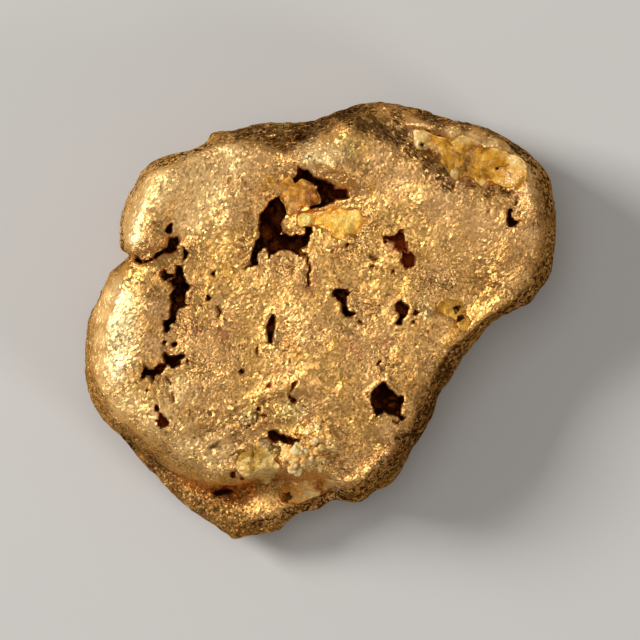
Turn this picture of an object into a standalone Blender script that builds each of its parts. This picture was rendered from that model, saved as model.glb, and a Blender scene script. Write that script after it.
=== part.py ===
"""A placer gold nugget: one flattened, water-worn lump of native gold, pitted and creased, with grains of
iron-stained quartz still sitting in its hollows. It lies on its underside with its broad face up.

The frame is metres, +Z up. The origin is on the ground, under the middle of the nugget's length (X) and
breadth (Y). Plan points below are (x, y) in millimetres, and a run of a pit or a pocket is a list of
(x, y, half width).
"""

import math

import bmesh
import bpy
import numpy as np
from mathutils import Matrix, Vector

# ---- driving dimensions, in millimetres ----------------------------------------------------------------
MM = 0.001
FACE_HEIGHT = 6.0  # the broad upper face above the ground
LEDGE_DROP = 2.5  # how far the lower ledge lies under the face
LEDGE_STEP = 0.6  # how wide the step down to it is
RIM_HEIGHT = 2.7  # the widest line round the sides
BELLY_HEIGHT = 0.6  # the underside between the places it rests on
SIDE_DENTS = 0.3  # how uneven the sides are
CELLS = 40  # grid cells across the upper face, and across the underside
FLAT_SHARE = 0.74  # share of those cells inside the rounded edge
GAP = 0.3  # between quartz and the gold round it
ABOVE = 2.0  # how far a cutter stands over the surface it cuts

CENTRE = (-0.8, 0.9)  # where the outline's radii start
OUTLINE = [
    (10.0, 3.8), (9.8, 5.7), (9.25, 6.7), (8.35, 7.5), (7.3, 8.1), (6.1, 8.4), (4.95, 8.65), (3.95, 9.0),
    (2.8, 9.2), (1.8, 9.15), (0.95, 8.95), (0.0, 8.55), (-0.9, 8.45), (-1.8, 8.45), (-2.7, 8.35),
    (-3.6, 8.1), (-4.5, 7.95), (-4.95, 7.5), (-5.5, 7.15), (-6.35, 7.05), (-7.3, 6.55), (-7.9, 5.7),
    (-8.3, 4.8), (-8.45, 3.75), (-8.4, 3.1), (-8.1, 2.8), (-8.4, 2.45), (-8.9, 1.95), (-9.35, 1.0),
    (-9.8, 0.0), (-9.95, -1.25), (-9.95, -2.3), (-9.75, -3.2), (-9.25, -4.1), (-8.45, -4.85), (-7.1, -6.4),
    (-5.65, -7.85), (-4.0, -9.0), (-3.6, -9.25), (-3.0, -9.15), (-1.9, -8.95), (-1.35, -8.45),
    (-0.8, -8.15), (0.0, -8.0), (0.6, -7.6), (1.65, -7.65), (2.35, -7.2), (3.05, -6.8), (3.55, -6.2),
    (3.95, -5.35), (4.65, -4.2), (5.05, -3.15), (5.5, -2.45), (6.2, -1.35), (7.25, -0.1), (8.1, 0.4),
    (8.95, 0.8), (9.3, 1.25), (9.8, 2.05),
]
# How wide the rounded edge is, by angle from +X: broadest low on the right, tightest at the upper left.
EDGE_WIDTH = {
    0: 1.1, 40: 0.9, 75: 0.8, 105: 0.8, 135: 0.8, 155: 0.6, 180: 1.0, 205: 1.1, 230: 1.0, 260: 1.0, 290: 0.9,
    310: 1.1, 335: 1.2,
}
LEAST_WIDTH = 0.4
FAN = math.radians(13)  # how far to either side the outline's dents are levelled out along the face's edge

# The foot of the broad face, along which it steps down to the lower ledge.
LEDGE_LINE = [
    (-9.5, -5.6), (-8.4, -5.3), (-7.2, -5.6), (-6.0, -6.4), (-4.7, -7.0), (-3.4, -7.0), (-2.4, -6.5),
    (-1.2, -6.5), (0.0, -6.6), (1.0, -7.3), (2.2, -8.6),
]

# Low forms of the upper face: rise, reach to either side, and the line they follow.
FORMS = {
    "upper_left_lip": (0.55, 1.3, [(-6.5, 6.2), (-6.9, 4.8), (-7.0, 3.6)]),
    "left_lip": (0.65, 1.5, [(-7.3, 1.6), (-7.5, 0.0), (-7.5, -1.9), (-7.2, -3.4), (-6.8, -4.2)]),
    "left_trough": (-0.2, 0.7, [(-6.1, 4.1), (-5.9, 2.5), (-5.85, 0.7), (-6.35, -1.0), (-7.2, -3.0)]),
    "notch_crease": (-0.35, 0.35, [(-8.6, 2.8), (-7.8, 2.6), (-6.8, 2.8), (-6.1, 3.3)]),
    "back_crease": (-0.9, 0.4, [(-3.6, 8.2), (-2.6, 8.0), (-1.1, 7.55), (-0.5, 7.8), (0.45, 8.3)]),
    "quartz_hollow": (-0.35, 0.7, [(2.8, 8.6), (4.4, 7.8), (6.0, 7.1), (7.4, 6.5)]),
    "hollow_shoulder": (0.15, 0.8, [(0.9, 7.9), (2.3, 7.3), (3.4, 6.3), (4.6, 5.4), (6.2, 4.6), (7.6, 4.7)]),
    "right_lip": (0.3, 0.55, [(4.3, 8.75), (5.75, 8.3), (7.25, 7.8), (8.7, 6.7), (9.1, 5.2)]),
    "lower_groove": (-0.7, 0.5, [(-8.4, -5.2), (-7.2, -5.5), (-6.0, -6.4), (-4.7, -7.1), (-3.4, -7.2)]),
    "crumbs": (0.55, 0.8, [(-0.8, -5.7), (0.5, -5.2)]),
    "lower_right_fold": (0.14, 0.35, [(3.4, -5.4), (2.9, -6.4), (1.5, -6.9)]),
    "lower_right_dip": (-0.1, 0.4, [(2.4, -5.3), (1.6, -6.2)]),
    "upper_ripple": (0.12, 0.3, [(-5.9, -4.6), (-4.0, -3.7), (-2.3, -3.05), (-0.8, -2.7)]),
    "lower_ripple": (0.14, 0.3, [(-4.9, -5.3), (-2.95, -4.4), (-1.25, -3.9)]),
    "centre_bowl": (-0.5, 1.3, [(-1.5, 4.5), (0.5, 5.1)]),
    "centre_brow": (0.35, 0.6, [(-0.8, 7.1), (0.5, 6.8), (1.5, 6.2)]),
    "right_dip": (-0.3, 1.2, [(5.2, -1.2), (6.6, 1.0)]),
}
# The underside bulges down in three places, which the ground has worn flat, and is grooved between them.
UNDERSIDE = {
    "left_foot": (-1.2, 2.4, [(-5.0, 1.8)]),
    "right_foot": (-1.2, 2.4, [(4.2, 4.6)]),
    "lower_foot": (-1.2, 2.2, [(0.0, -3.7)]),
    "belly_groove": (0.8, 0.8, [(-6.0, -2.8), (-3.0, -0.8), (0.5, 0.8), (5.0, 0.6)]),
    "belly_dimple": (0.7, 1.0, [(-1.2, 5.0)]),
    "heel_dimple": (0.6, 0.9, [(-3.6, -5.6)]),
    "right_crease": (0.6, 0.5, [(7.6, 5.6), (8.0, 3.6), (7.2, 2.0)]),
}

# Deep pits: how deep, and the run that each follows.
PITS = {
    "notch_crack": (1.3, [(-7.75, 2.6, 0.08), (-7.3, 2.5, 0.1), (-6.75, 2.85, 0.15), (-6.3, 3.15, 0.25),
                          (-6.05, 3.35, 0.2)]),
    "left_gap": (1.8, [(-5.75, 2.25, 0.1), (-5.9, 1.8, 0.25), (-5.9, 1.1, 0.32), (-6.1, 0.4, 0.15),
                       (-6.35, 0.0, 0.2)]),
    "left_low_pit": (1.2, [(-5.65, -1.7, 0.15), (-6.3, -1.65, 0.27), (-6.9, -2.1, 0.18), (-7.4, -2.3, 0.1)]),
    "left_foot_pit": (0.9, [(-6.9, -3.65, 0.12), (-6.85, -4.0, 0.15), (-6.45, -4.4, 0.2)]),
    "centre_left_hole": (2.6, [(-2.75, 2.4, 0.12), (-2.7, 2.85, 0.2), (-2.3, 3.8, 0.35), (-1.95, 5.0, 0.3)]),
    "centre_base_hole": (2.4, [(-2.35, 3.3, 0.25), (-1.3, 3.2, 0.38), (-0.45, 3.6, 0.2)]),
    "centre_top_hole": (2.2, [(-1.0, 6.55, 0.12), (-0.7, 6.2, 0.27)]),
    "centre_right_hole": (2.3, [(-0.5, 6.15, 0.15), (0.0, 5.55, 0.38), (0.85, 5.4, 0.35), (1.3, 5.2, 0.15)]),
    "red_pit": (0.9, [(2.8, 3.5, 0.13), (3.45, 3.55, 0.22), (3.6, 2.8, 0.18), (3.8, 2.4, 0.2)]),
    "right_crack": (1.0, [(8.2, 4.85, 0.08), (8.1, 4.4, 0.17), (8.45, 4.2, 0.12)]),
    "keyhole_pit": (1.2, [(0.75, 1.25, 0.19), (1.05, 1.1, 0.19), (1.1, 0.45, 0.12), (1.4, 0.25, 0.1)]),
    "middle_slot": (1.2, [(-2.0, 0.2, 0.1), (-2.05, -0.3, 0.16), (-2.05, -0.95, 0.1)]),
    "east_pit": (1.2, [(3.4, 0.75, 0.12), (3.5, 0.4, 0.2), (3.4, -0.2, 0.12)]),
    "lower_right_hole": (2.0, [(2.55, -2.7, 0.2), (2.8, -3.25, 0.5), (3.35, -3.65, 0.25)]),
    "lower_slot": (1.3, [(-2.05, -4.85, 0.15), (-1.6, -5.0, 0.19), (-0.9, -5.1, 0.13)]),
}
UNDER_PITS = {
    "under_hole": (1.2, [(-1.2, 1.9, 0.3), (-0.4, 2.3, 0.4), (0.3, 2.3, 0.25)]),
    "under_left_pit": (1.0, [(-4.5, -2.9, 0.25), (-3.7, -3.3, 0.35)]),
    "under_right_pit": (0.9, [(5.9, 2.2, 0.2), (6.5, 2.5, 0.35), (7.0, 2.3, 0.15)]),
}

# Quartz in its hollows: depth of the pocket, how far the grains stand over the gold, the pocket's run, and
# the grains as (x, y, half length, half width, share of the full height, turn in degrees).
QUARTZ = {
    "quartz_upper": (1.1, 0.15, [
        (4.1, 7.7, 0.4), (4.7, 7.2, 0.55), (5.4, 6.85, 0.8), (6.2, 6.8, 0.9), (7.0, 6.5, 0.8),
        (7.7, 6.25, 0.7), (8.15, 6.1, 0.45),
    ], [
        (4.3, 7.55, 0.7, 0.6, 1.0, 120), (5.0, 6.95, 0.8, 0.7, 0.75, 60), (5.7, 7.1, 0.9, 0.7, 0.9, 150),
        (6.3, 6.45, 0.9, 0.8, 0.7, 20), (6.9, 6.8, 0.9, 0.7, 0.85, 110), (7.7, 6.15, 0.9, 0.75, 0.95, 40),
    ]),
    "quartz_centre": (2.0, 0.2, [
        (-1.45, 6.0, 0.45), (-1.4, 5.0, 0.85), (-0.6, 4.2, 0.85), (0.6, 4.2, 0.8), (1.7, 4.4, 0.5),
    ], [
        (-1.3, 5.6, 0.7, 0.6, 0.9, 70), (-1.2, 4.8, 0.95, 0.7, 0.8, 20), (-0.7, 4.1, 0.8, 0.7, 0.85, 150),
        (0.3, 4.15, 0.8, 0.7, 1.0, 20), (1.2, 4.3, 0.9, 0.6, 0.95, 160),
    ]),
    "quartz_right": (1.0, 0.15, [(5.1, 0.65, 0.5), (6.0, 0.25, 0.65)], [
        (5.3, 0.5, 0.6, 0.5, 1.0, 150), (5.95, 0.2, 0.6, 0.5, 0.9, 40),
    ]),
    "quartz_lower": (1.6, 0.5, [(-3.3, -6.2, 0.7), (-2.7, -5.7, 1.1), (-2.2, -5.2, 0.7)], [
        (-3.1, -6.0, 0.8, 0.7, 0.9, 30), (-2.45, -5.5, 0.9, 0.8, 1.0, 80),
    ]),
    "quartz_foot": (1.3, 0.35, [(-1.7, -7.25, 0.55), (-0.7, -7.2, 0.75), (0.2, -7.1, 0.5)], [
        (-1.4, -7.2, 0.7, 0.5, 1.0, 20), (-0.6, -7.2, 0.8, 0.5, 0.9, 170),
    ]),
}
GRAIN_CORNERS = 24

GOLD_COLOUR = (0.83, 0.53, 0.2, 1.0)
QUARTZ_COLOUR = (0.72, 0.52, 0.17, 1.0)


# ---- the outline and the low forms ---------------------------------------------------------------------
def closed_curve(points, steps=8):
    """Points of a closed Catmull-Rom curve through the given ones."""
    at = np.array(points)
    before, after, second = np.roll(at, 1, axis=0), np.roll(at, -1, axis=0), np.roll(at, -2, axis=0)
    share = np.linspace(0, 1, steps, endpoint=False)[None, :, None]
    at, before, after, second = (row[:, None, :] for row in (at, before, after, second))
    first_order = (after - before) * share
    second_order = (2 * before - 5 * at + 4 * after - second) * share**2
    third_order = (3 * at - before - 3 * after + second) * share**3
    return (at + 0.5 * (first_order + second_order + third_order)).reshape(-1, 2)


def outline_radius(angle):
    """Radius of the outline about CENTRE at each angle."""
    ring = closed_curve(OUTLINE) - CENTRE
    ring_angle, ring_radius = np.arctan2(ring[:, 1], ring[:, 0]), np.hypot(ring[:, 0], ring[:, 1])
    return np.interp(angle, ring_angle, ring_radius, period=2 * math.pi)


def edge_width(angle):
    """Width of the rounded edge: the listed width plus what the outline stands out over its own mean nearby,
    so that the broad face ends along a calmer line than the dented outline."""
    width = np.interp(np.degrees(angle), list(EDGE_WIDTH), list(EDGE_WIDTH.values()), period=360)
    nearby = np.mean([outline_radius(angle + turn) for turn in np.linspace(-FAN, FAN, 9)], axis=0)
    return np.maximum(width + outline_radius(angle) - nearby, LEAST_WIDTH)


def distance_to_line(x, y, line):
    """Distance in plan from each point to the nearest place on an open line of points."""
    nearest = np.hypot(x - line[0][0], y - line[0][1])
    for (x0, y0), (x1, y1) in zip(line, line[1:]):
        along_x, along_y = x1 - x0, y1 - y0
        share = np.clip(((x - x0) * along_x + (y - y0) * along_y) / (along_x**2 + along_y**2), 0, 1)
        nearest = np.minimum(nearest, np.hypot(x - x0 - share * along_x, y - y0 - share * along_y))
    return nearest


def form_height(x, y, forms):
    """Sum of soft ridges, where the rise is above 0, and troughs, where it is below, about their lines."""
    total = 0.0
    for rise, reach, line in forms.values():
        total = total + rise * np.exp(-((distance_to_line(x, y, line) / reach) ** 2))
    return total


def rolling(x, y, size, seed):
    """Smooth uneven ground between -1 and 1: eight waves about `size` long, in seeded directions."""
    chance = np.random.default_rng(seed)
    total = np.zeros_like(x)
    for turn, shift, stretch in chance.random((8, 3)):
        run = x * math.cos(2 * math.pi * turn) + y * math.sin(2 * math.pi * turn)
        total += np.sin(2 * math.pi * (run / (size * (0.7 + 0.6 * stretch)) + shift))
    return total / 8


def smooth_step(share):
    share = np.clip(share, 0, 1)
    return share**2 * (3 - 2 * share)


def face_height(x, y):
    """Height of the upper face: it sinks towards its lower and right edges and steps down to the ledge."""
    line_x, line_y = np.array(LEDGE_LINE).T
    below = np.interp(x, line_x, line_y) - y
    ledge = LEDGE_DROP * smooth_step(below / LEDGE_STEP + 0.5)
    sink = 0.9 * smooth_step((-y - 2.0) / 6.0) + 0.04 * np.clip(x, 0, None)
    uneven = 0.18 * rolling(x, y, 4.2, 3) + 0.08 * rolling(x, y, 1.9, 5)
    return FACE_HEIGHT - ledge - sink + uneven + form_height(x, y, FORMS)


def belly_height(x, y):
    """Height of the underside, worn flat where it would go under 0."""
    uneven = BELLY_HEIGHT + 0.3 * rolling(x, y, 3.4, 11) + 0.14 * rolling(x, y, 1.7, 12)
    return np.maximum(uneven + form_height(x, y, UNDERSIDE), 0)


def rim_height(angle):
    """Height of the widest line, which wanders slowly and is lowest at the thin lower tip."""
    from_tip = (np.degrees(angle) - 253 + 180) % 360 - 180
    tip = np.exp(-((from_tip / 40) ** 2))
    return RIM_HEIGHT - 1.1 * tip + 0.25 * np.sin(3 * angle + 0.6) + 0.15 * np.sin(7 * angle)


# ---- the gold ------------------------------------------------------------------------------------------
def disc_grid(cells):
    """A square grid pressed onto a unit disc: each point's distance from the middle, and its angle."""
    line = np.linspace(-1, 1, cells + 1)
    across, up = np.meshgrid(line, line)
    disc_x = across * np.sqrt(1 - up**2 / 2)
    disc_y = up * np.sqrt(1 - across**2 / 2)
    return np.hypot(disc_x, disc_y), np.arctan2(disc_y, disc_x)


def nugget_sheets(cells):
    """Points of the upper and the lower sheet. Inside FLAT_SHARE a sheet runs out level. Past it a quarter
    turn carries it to the outline by its sine and to the rim's height by its cosine. Dents fade at both
    ends."""
    share, angle = disc_grid(cells)
    radius, width = outline_radius(angle), edge_width(angle)
    turn = np.clip((share - FLAT_SHARE) / (1 - FLAT_SHARE), 0, 1) * math.pi / 2
    reach = (radius - width) * np.minimum(share / FLAT_SHARE, 1) + width * np.sin(turn)
    dents = SIDE_DENTS * np.sin(2 * turn)
    rim = rim_height(angle)

    def sheet(height, seed):
        around = rolling(9 * np.cos(angle) + 4 * turn, 9 * np.sin(angle), 2.6, seed)
        out = reach + dents * around
        x, y = CENTRE[0] + out * np.cos(angle), CENTRE[1] + out * np.sin(angle)
        return np.stack([x, y, rim + (height(x, y) - rim) * np.cos(turn)], axis=-1)

    return sheet(face_height, 21), sheet(belly_height, 22)


def closed_from_sheets(name, upper, lower):
    """A closed mesh of two square sheets that share their outer row of points."""
    side = upper.shape[0]
    number = np.arange(side * side).reshape(side, side)
    inside = np.zeros((side, side), bool)
    inside[1:-1, 1:-1] = True
    under = number.copy()
    under[inside] = side * side + np.arange(inside.sum())

    def quads(at):
        return np.stack([at[:-1, :-1], at[:-1, 1:], at[1:, 1:], at[1:, :-1]], axis=-1).reshape(-1, 4)

    points = np.concatenate([upper.reshape(-1, 3), lower[inside]])
    faces = np.concatenate([quads(number), quads(under)[:, ::-1]])
    mesh = bpy.data.meshes.new(name)
    mesh.from_pydata((points * MM).tolist(), [], faces.tolist())
    return mesh


# ---- cutters -------------------------------------------------------------------------------------------
def run_outline(run, wider=0.0):
    """Outline of a run of (x, y, half width): out along its right side, round the end, back on its left."""
    middle = np.array(run)[:, :2]
    half = np.array(run)[:, 2] + wider
    ahead = np.gradient(middle, axis=0)
    ahead /= np.linalg.norm(ahead, axis=1)[:, None]
    left = np.stack([-ahead[:, 1], ahead[:, 0]], axis=1) * half[:, None]
    end = middle[-1] + ahead[-1] * half[-1]
    start = middle[0] - ahead[0] * half[0]
    return np.concatenate([middle - left, [end], (middle + left)[::-1], [start]])


def prism(name, outline, floor, open_end, taper=1.0):
    """A closed prism that only cuts. At its floor the outline is drawn in to `taper` of its size."""
    count = len(outline)
    middle = outline.mean(axis=0)
    floor_ring = np.column_stack([middle + (outline - middle) * taper, np.full(count, floor)])
    open_ring = np.column_stack([outline, np.full(count, open_end)])
    low, high = (floor_ring, open_ring) if floor < open_end else (open_ring, floor_ring)
    points = np.concatenate([low, high]) * MM
    sides = [(i, (i + 1) % count, count + (i + 1) % count, count + i) for i in range(count)]
    ends = [tuple(reversed(range(count))), tuple(range(count, 2 * count))]
    mesh = bpy.data.meshes.new(name)
    mesh.from_pydata(points.tolist(), [], sides + ends)
    return helper(name, mesh)


def level_under(run, height):
    """Mean height of a surface along a run."""
    x, y, _ = np.array(run).T
    return float(np.mean(height(x, y)))


def combine(obj, other, operation):
    modifier = obj.modifiers.new(other.name, "BOOLEAN")
    modifier.operation = operation
    modifier.object = other
    modifier.solver = "EXACT"


# ---- objects -------------------------------------------------------------------------------------------
def material(name, colour, metallic, roughness):
    made = bpy.data.materials.new(name)
    made.use_nodes = True
    shader = made.node_tree.nodes["Principled BSDF"]
    shader.inputs["Base Color"].default_value = colour
    shader.inputs["Metallic"].default_value = metallic
    shader.inputs["Roughness"].default_value = roughness
    made.diffuse_color = colour
    return made


def linked(name, mesh):
    """An object held by the nugget's empty."""
    obj = bpy.data.objects.new(name, mesh)
    obj.parent = bpy.data.objects["nugget"]
    bpy.context.scene.collection.objects.link(obj)
    return obj


def helper(name, mesh):
    """An object that only cuts or joins, and so isn't a piece of the nugget."""
    obj = linked(name, mesh)
    obj.hide_render = True
    obj.display_type = "WIRE"
    return obj


def piece(name, mesh, finish):
    obj = linked(name, mesh)
    mesh.materials.append(finish)
    return obj


def make_gold(upper, lower):
    """The one lump of gold, with its pits and the pockets of the quartz cut out of it."""
    finish = material("gold", GOLD_COLOUR, 1.0, 0.4)
    gold = piece("gold_body", closed_from_sheets("gold_body", upper, lower), finish)
    for name, (depth, run) in PITS.items():
        level = level_under(run, face_height)
        combine(gold, prism(name, run_outline(run), level - depth, level + ABOVE, taper=0.75), "DIFFERENCE")
    for name, (depth, run) in UNDER_PITS.items():
        level = level_under(run, belly_height)
        combine(gold, prism(name, run_outline(run), level + depth, level - ABOVE, taper=0.75), "DIFFERENCE")
    for name, (depth, _, run, _) in QUARTZ.items():
        level = level_under(run, face_height)
        combine(gold, prism(name + "_pocket", run_outline(run), level - depth, level + ABOVE), "DIFFERENCE")


def grain_mesh(name, grain, floor, top, chance):
    """A faceted grain from floor up to its share of the way to top: the hull of seeded points on an egg."""
    x, y, half_length, half_width, share, turn = grain
    half_height = (top - floor) * share / 2
    directions = chance.normal(size=(GRAIN_CORNERS, 3))
    directions /= np.linalg.norm(directions, axis=1)[:, None]
    stretch = Matrix.Diagonal((half_length, half_width, half_height, 1))
    turned = Matrix.Rotation(math.radians(turn), 4, "Z") @ stretch
    place = Matrix.Translation((x, y, floor + half_height)) @ turned
    shape = bmesh.new()
    for direction in directions:
        shape.verts.new(place @ Vector(direction) * MM)
    bmesh.ops.convex_hull(shape, input=shape.verts)
    mesh = bpy.data.meshes.new(name)
    shape.to_mesh(mesh)
    shape.free()
    return mesh


def make_quartz(name, depth, stand, run, grains, finish, chance):
    """Grains grown into one another, kept GAP clear of their pocket's walls and floor."""
    level = level_under(run, face_height)
    floor = level - depth + GAP
    top = level + stand
    meshes = [grain_mesh(f"{name}_{i}", grain, floor, top, chance) for i, grain in enumerate(grains)]
    quartz = piece(name, meshes[0], finish)
    for mesh in meshes[1:]:
        combine(quartz, helper(mesh.name, mesh), "UNION")
    room = prism(name + "_room", run_outline(run, -GAP), floor, level + ABOVE)
    combine(quartz, room, "INTERSECT")


def main():
    for old in list(bpy.data.objects):
        bpy.data.objects.remove(old)
    upper, lower = nugget_sheets(CELLS)
    nugget = bpy.data.objects.new("nugget", None)
    middle = (upper.min(axis=(0, 1)) + upper.max(axis=(0, 1))) / 2
    nugget.location = Vector((-middle[0], -middle[1], 0)) * MM
    bpy.context.scene.collection.objects.link(nugget)
    make_gold(upper, lower)
    stained_quartz = material("stained_quartz", QUARTZ_COLOUR, 0.0, 0.25)
    chance = np.random.default_rng(7)
    for name, (depth, stand, run, grains) in QUARTZ.items():
        make_quartz(name, depth, stand, run, grains, stained_quartz, chance)


main()
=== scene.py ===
# %% [markdown]
# # A placer gold nugget
# The real thing is one flattened, water-worn lump of native gold, about 20 mm long, with grains of iron-stained
# quartz left in its hollows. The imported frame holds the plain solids. This script keeps their places and sizes
# and puts the fine surface over them: creases, dimples, torn pits, stains and broken quartz.
# Everything is worked out in millimetres, because the forms are that small, and made metres at the end.

# %% Load the frame
import itertools
import math

import bpy
import numpy as np
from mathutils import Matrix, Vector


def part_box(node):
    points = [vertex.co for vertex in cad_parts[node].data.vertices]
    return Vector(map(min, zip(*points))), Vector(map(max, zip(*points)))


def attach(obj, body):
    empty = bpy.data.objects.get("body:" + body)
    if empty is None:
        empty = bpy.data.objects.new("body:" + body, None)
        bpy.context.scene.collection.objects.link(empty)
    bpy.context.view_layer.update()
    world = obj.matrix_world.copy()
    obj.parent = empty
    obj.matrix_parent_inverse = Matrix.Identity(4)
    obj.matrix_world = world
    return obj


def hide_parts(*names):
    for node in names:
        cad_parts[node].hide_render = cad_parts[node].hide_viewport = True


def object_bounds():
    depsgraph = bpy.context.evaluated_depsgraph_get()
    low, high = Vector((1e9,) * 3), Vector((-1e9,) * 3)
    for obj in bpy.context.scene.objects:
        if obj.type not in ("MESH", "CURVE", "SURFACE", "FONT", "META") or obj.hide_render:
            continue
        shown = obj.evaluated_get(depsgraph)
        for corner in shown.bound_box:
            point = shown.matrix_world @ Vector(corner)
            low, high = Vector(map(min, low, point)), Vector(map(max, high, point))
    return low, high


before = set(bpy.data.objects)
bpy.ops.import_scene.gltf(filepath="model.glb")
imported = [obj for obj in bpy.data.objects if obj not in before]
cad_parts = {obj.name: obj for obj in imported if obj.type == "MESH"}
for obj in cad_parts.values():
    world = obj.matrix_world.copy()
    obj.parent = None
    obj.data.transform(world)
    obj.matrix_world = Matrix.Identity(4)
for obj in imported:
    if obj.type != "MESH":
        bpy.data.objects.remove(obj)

MM = 0.001
cad_lo, cad_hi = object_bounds()
print("CAD box in mm:", [round(side / MM, 2) for side in cad_hi - cad_lo])

# %% [markdown]
# ## Camera, floor and light
# The nugget lies on its worn underside and is seen from straight above. A long lens from far away keeps the high
# face and the low rim at one scale. A wide lens from near would show the same frame, but swell the middle.

# %% Camera
IMAGE = 640  # pixels along each side of the square picture
PIXEL = 20.0 / 471  # millimetres of the nugget in one pixel
RIM_HEIGHT = 2.7  # the widest line round the sides
CAMERA_RISE = 1000.0
SENSOR = 36.0

lens = bpy.data.cameras.new("camera")
lens.sensor_width = SENSOR
lens.lens = SENSOR * CAMERA_RISE / (IMAGE * PIXEL)
lens.clip_start = 0.01
camera = bpy.data.objects.new("camera", lens)
camera.location = (0, PIXEL * MM, (RIM_HEIGHT + CAMERA_RISE) * MM)
bpy.context.scene.collection.objects.link(camera)
bpy.context.scene.camera = camera
print("lens in mm:", round(lens.lens))

# %% [markdown]
# A metal has no colour of its own to show: it shows what it reflects. One broad softbox to the left, high enough
# to reach into the dimples, gives the bright left shoulder and the glints. A second, weaker one overhead keeps
# the level face from going black, a third from the far right puts glints on the slopes that face away, and the
# pale surroundings fill the rest.

# %% Light and surroundings
def softbox(name, azimuth, elevation, distance, side, watts):
    """A square lamp that faces the nugget. Azimuth turns from +X towards +Y; distance and side are in metres."""
    lamp = bpy.data.lights.new(name, "AREA")
    lamp.shape = "SQUARE"
    lamp.size = side
    lamp.energy = watts
    box = bpy.data.objects.new(name, lamp)
    turn, rise = math.radians(azimuth), math.radians(elevation)
    box.location = (
        distance * math.cos(rise) * math.cos(turn),
        distance * math.cos(rise) * math.sin(turn),
        distance * math.sin(rise),
    )
    box.rotation_euler = (math.pi / 2 - rise, 0, turn + math.pi / 2)
    box.visible_camera = False
    bpy.context.scene.collection.objects.link(box)


softbox("key", 158, 35, 0.45, 0.15, 1.85)
softbox("top", 130, 78, 0.6, 0.3, 0.6)
softbox("fill", -35, 30, 0.45, 0.12, 0.4)

world = bpy.data.worlds.new("studio")
world.use_nodes = True
surroundings = world.node_tree.nodes["Background"]
surroundings.inputs["Color"].default_value = (0.95, 0.93, 0.9, 1)
surroundings.inputs["Strength"].default_value = 0.2
bpy.context.scene.world = world
bpy.context.scene.view_settings.view_transform = "Standard"

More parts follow.
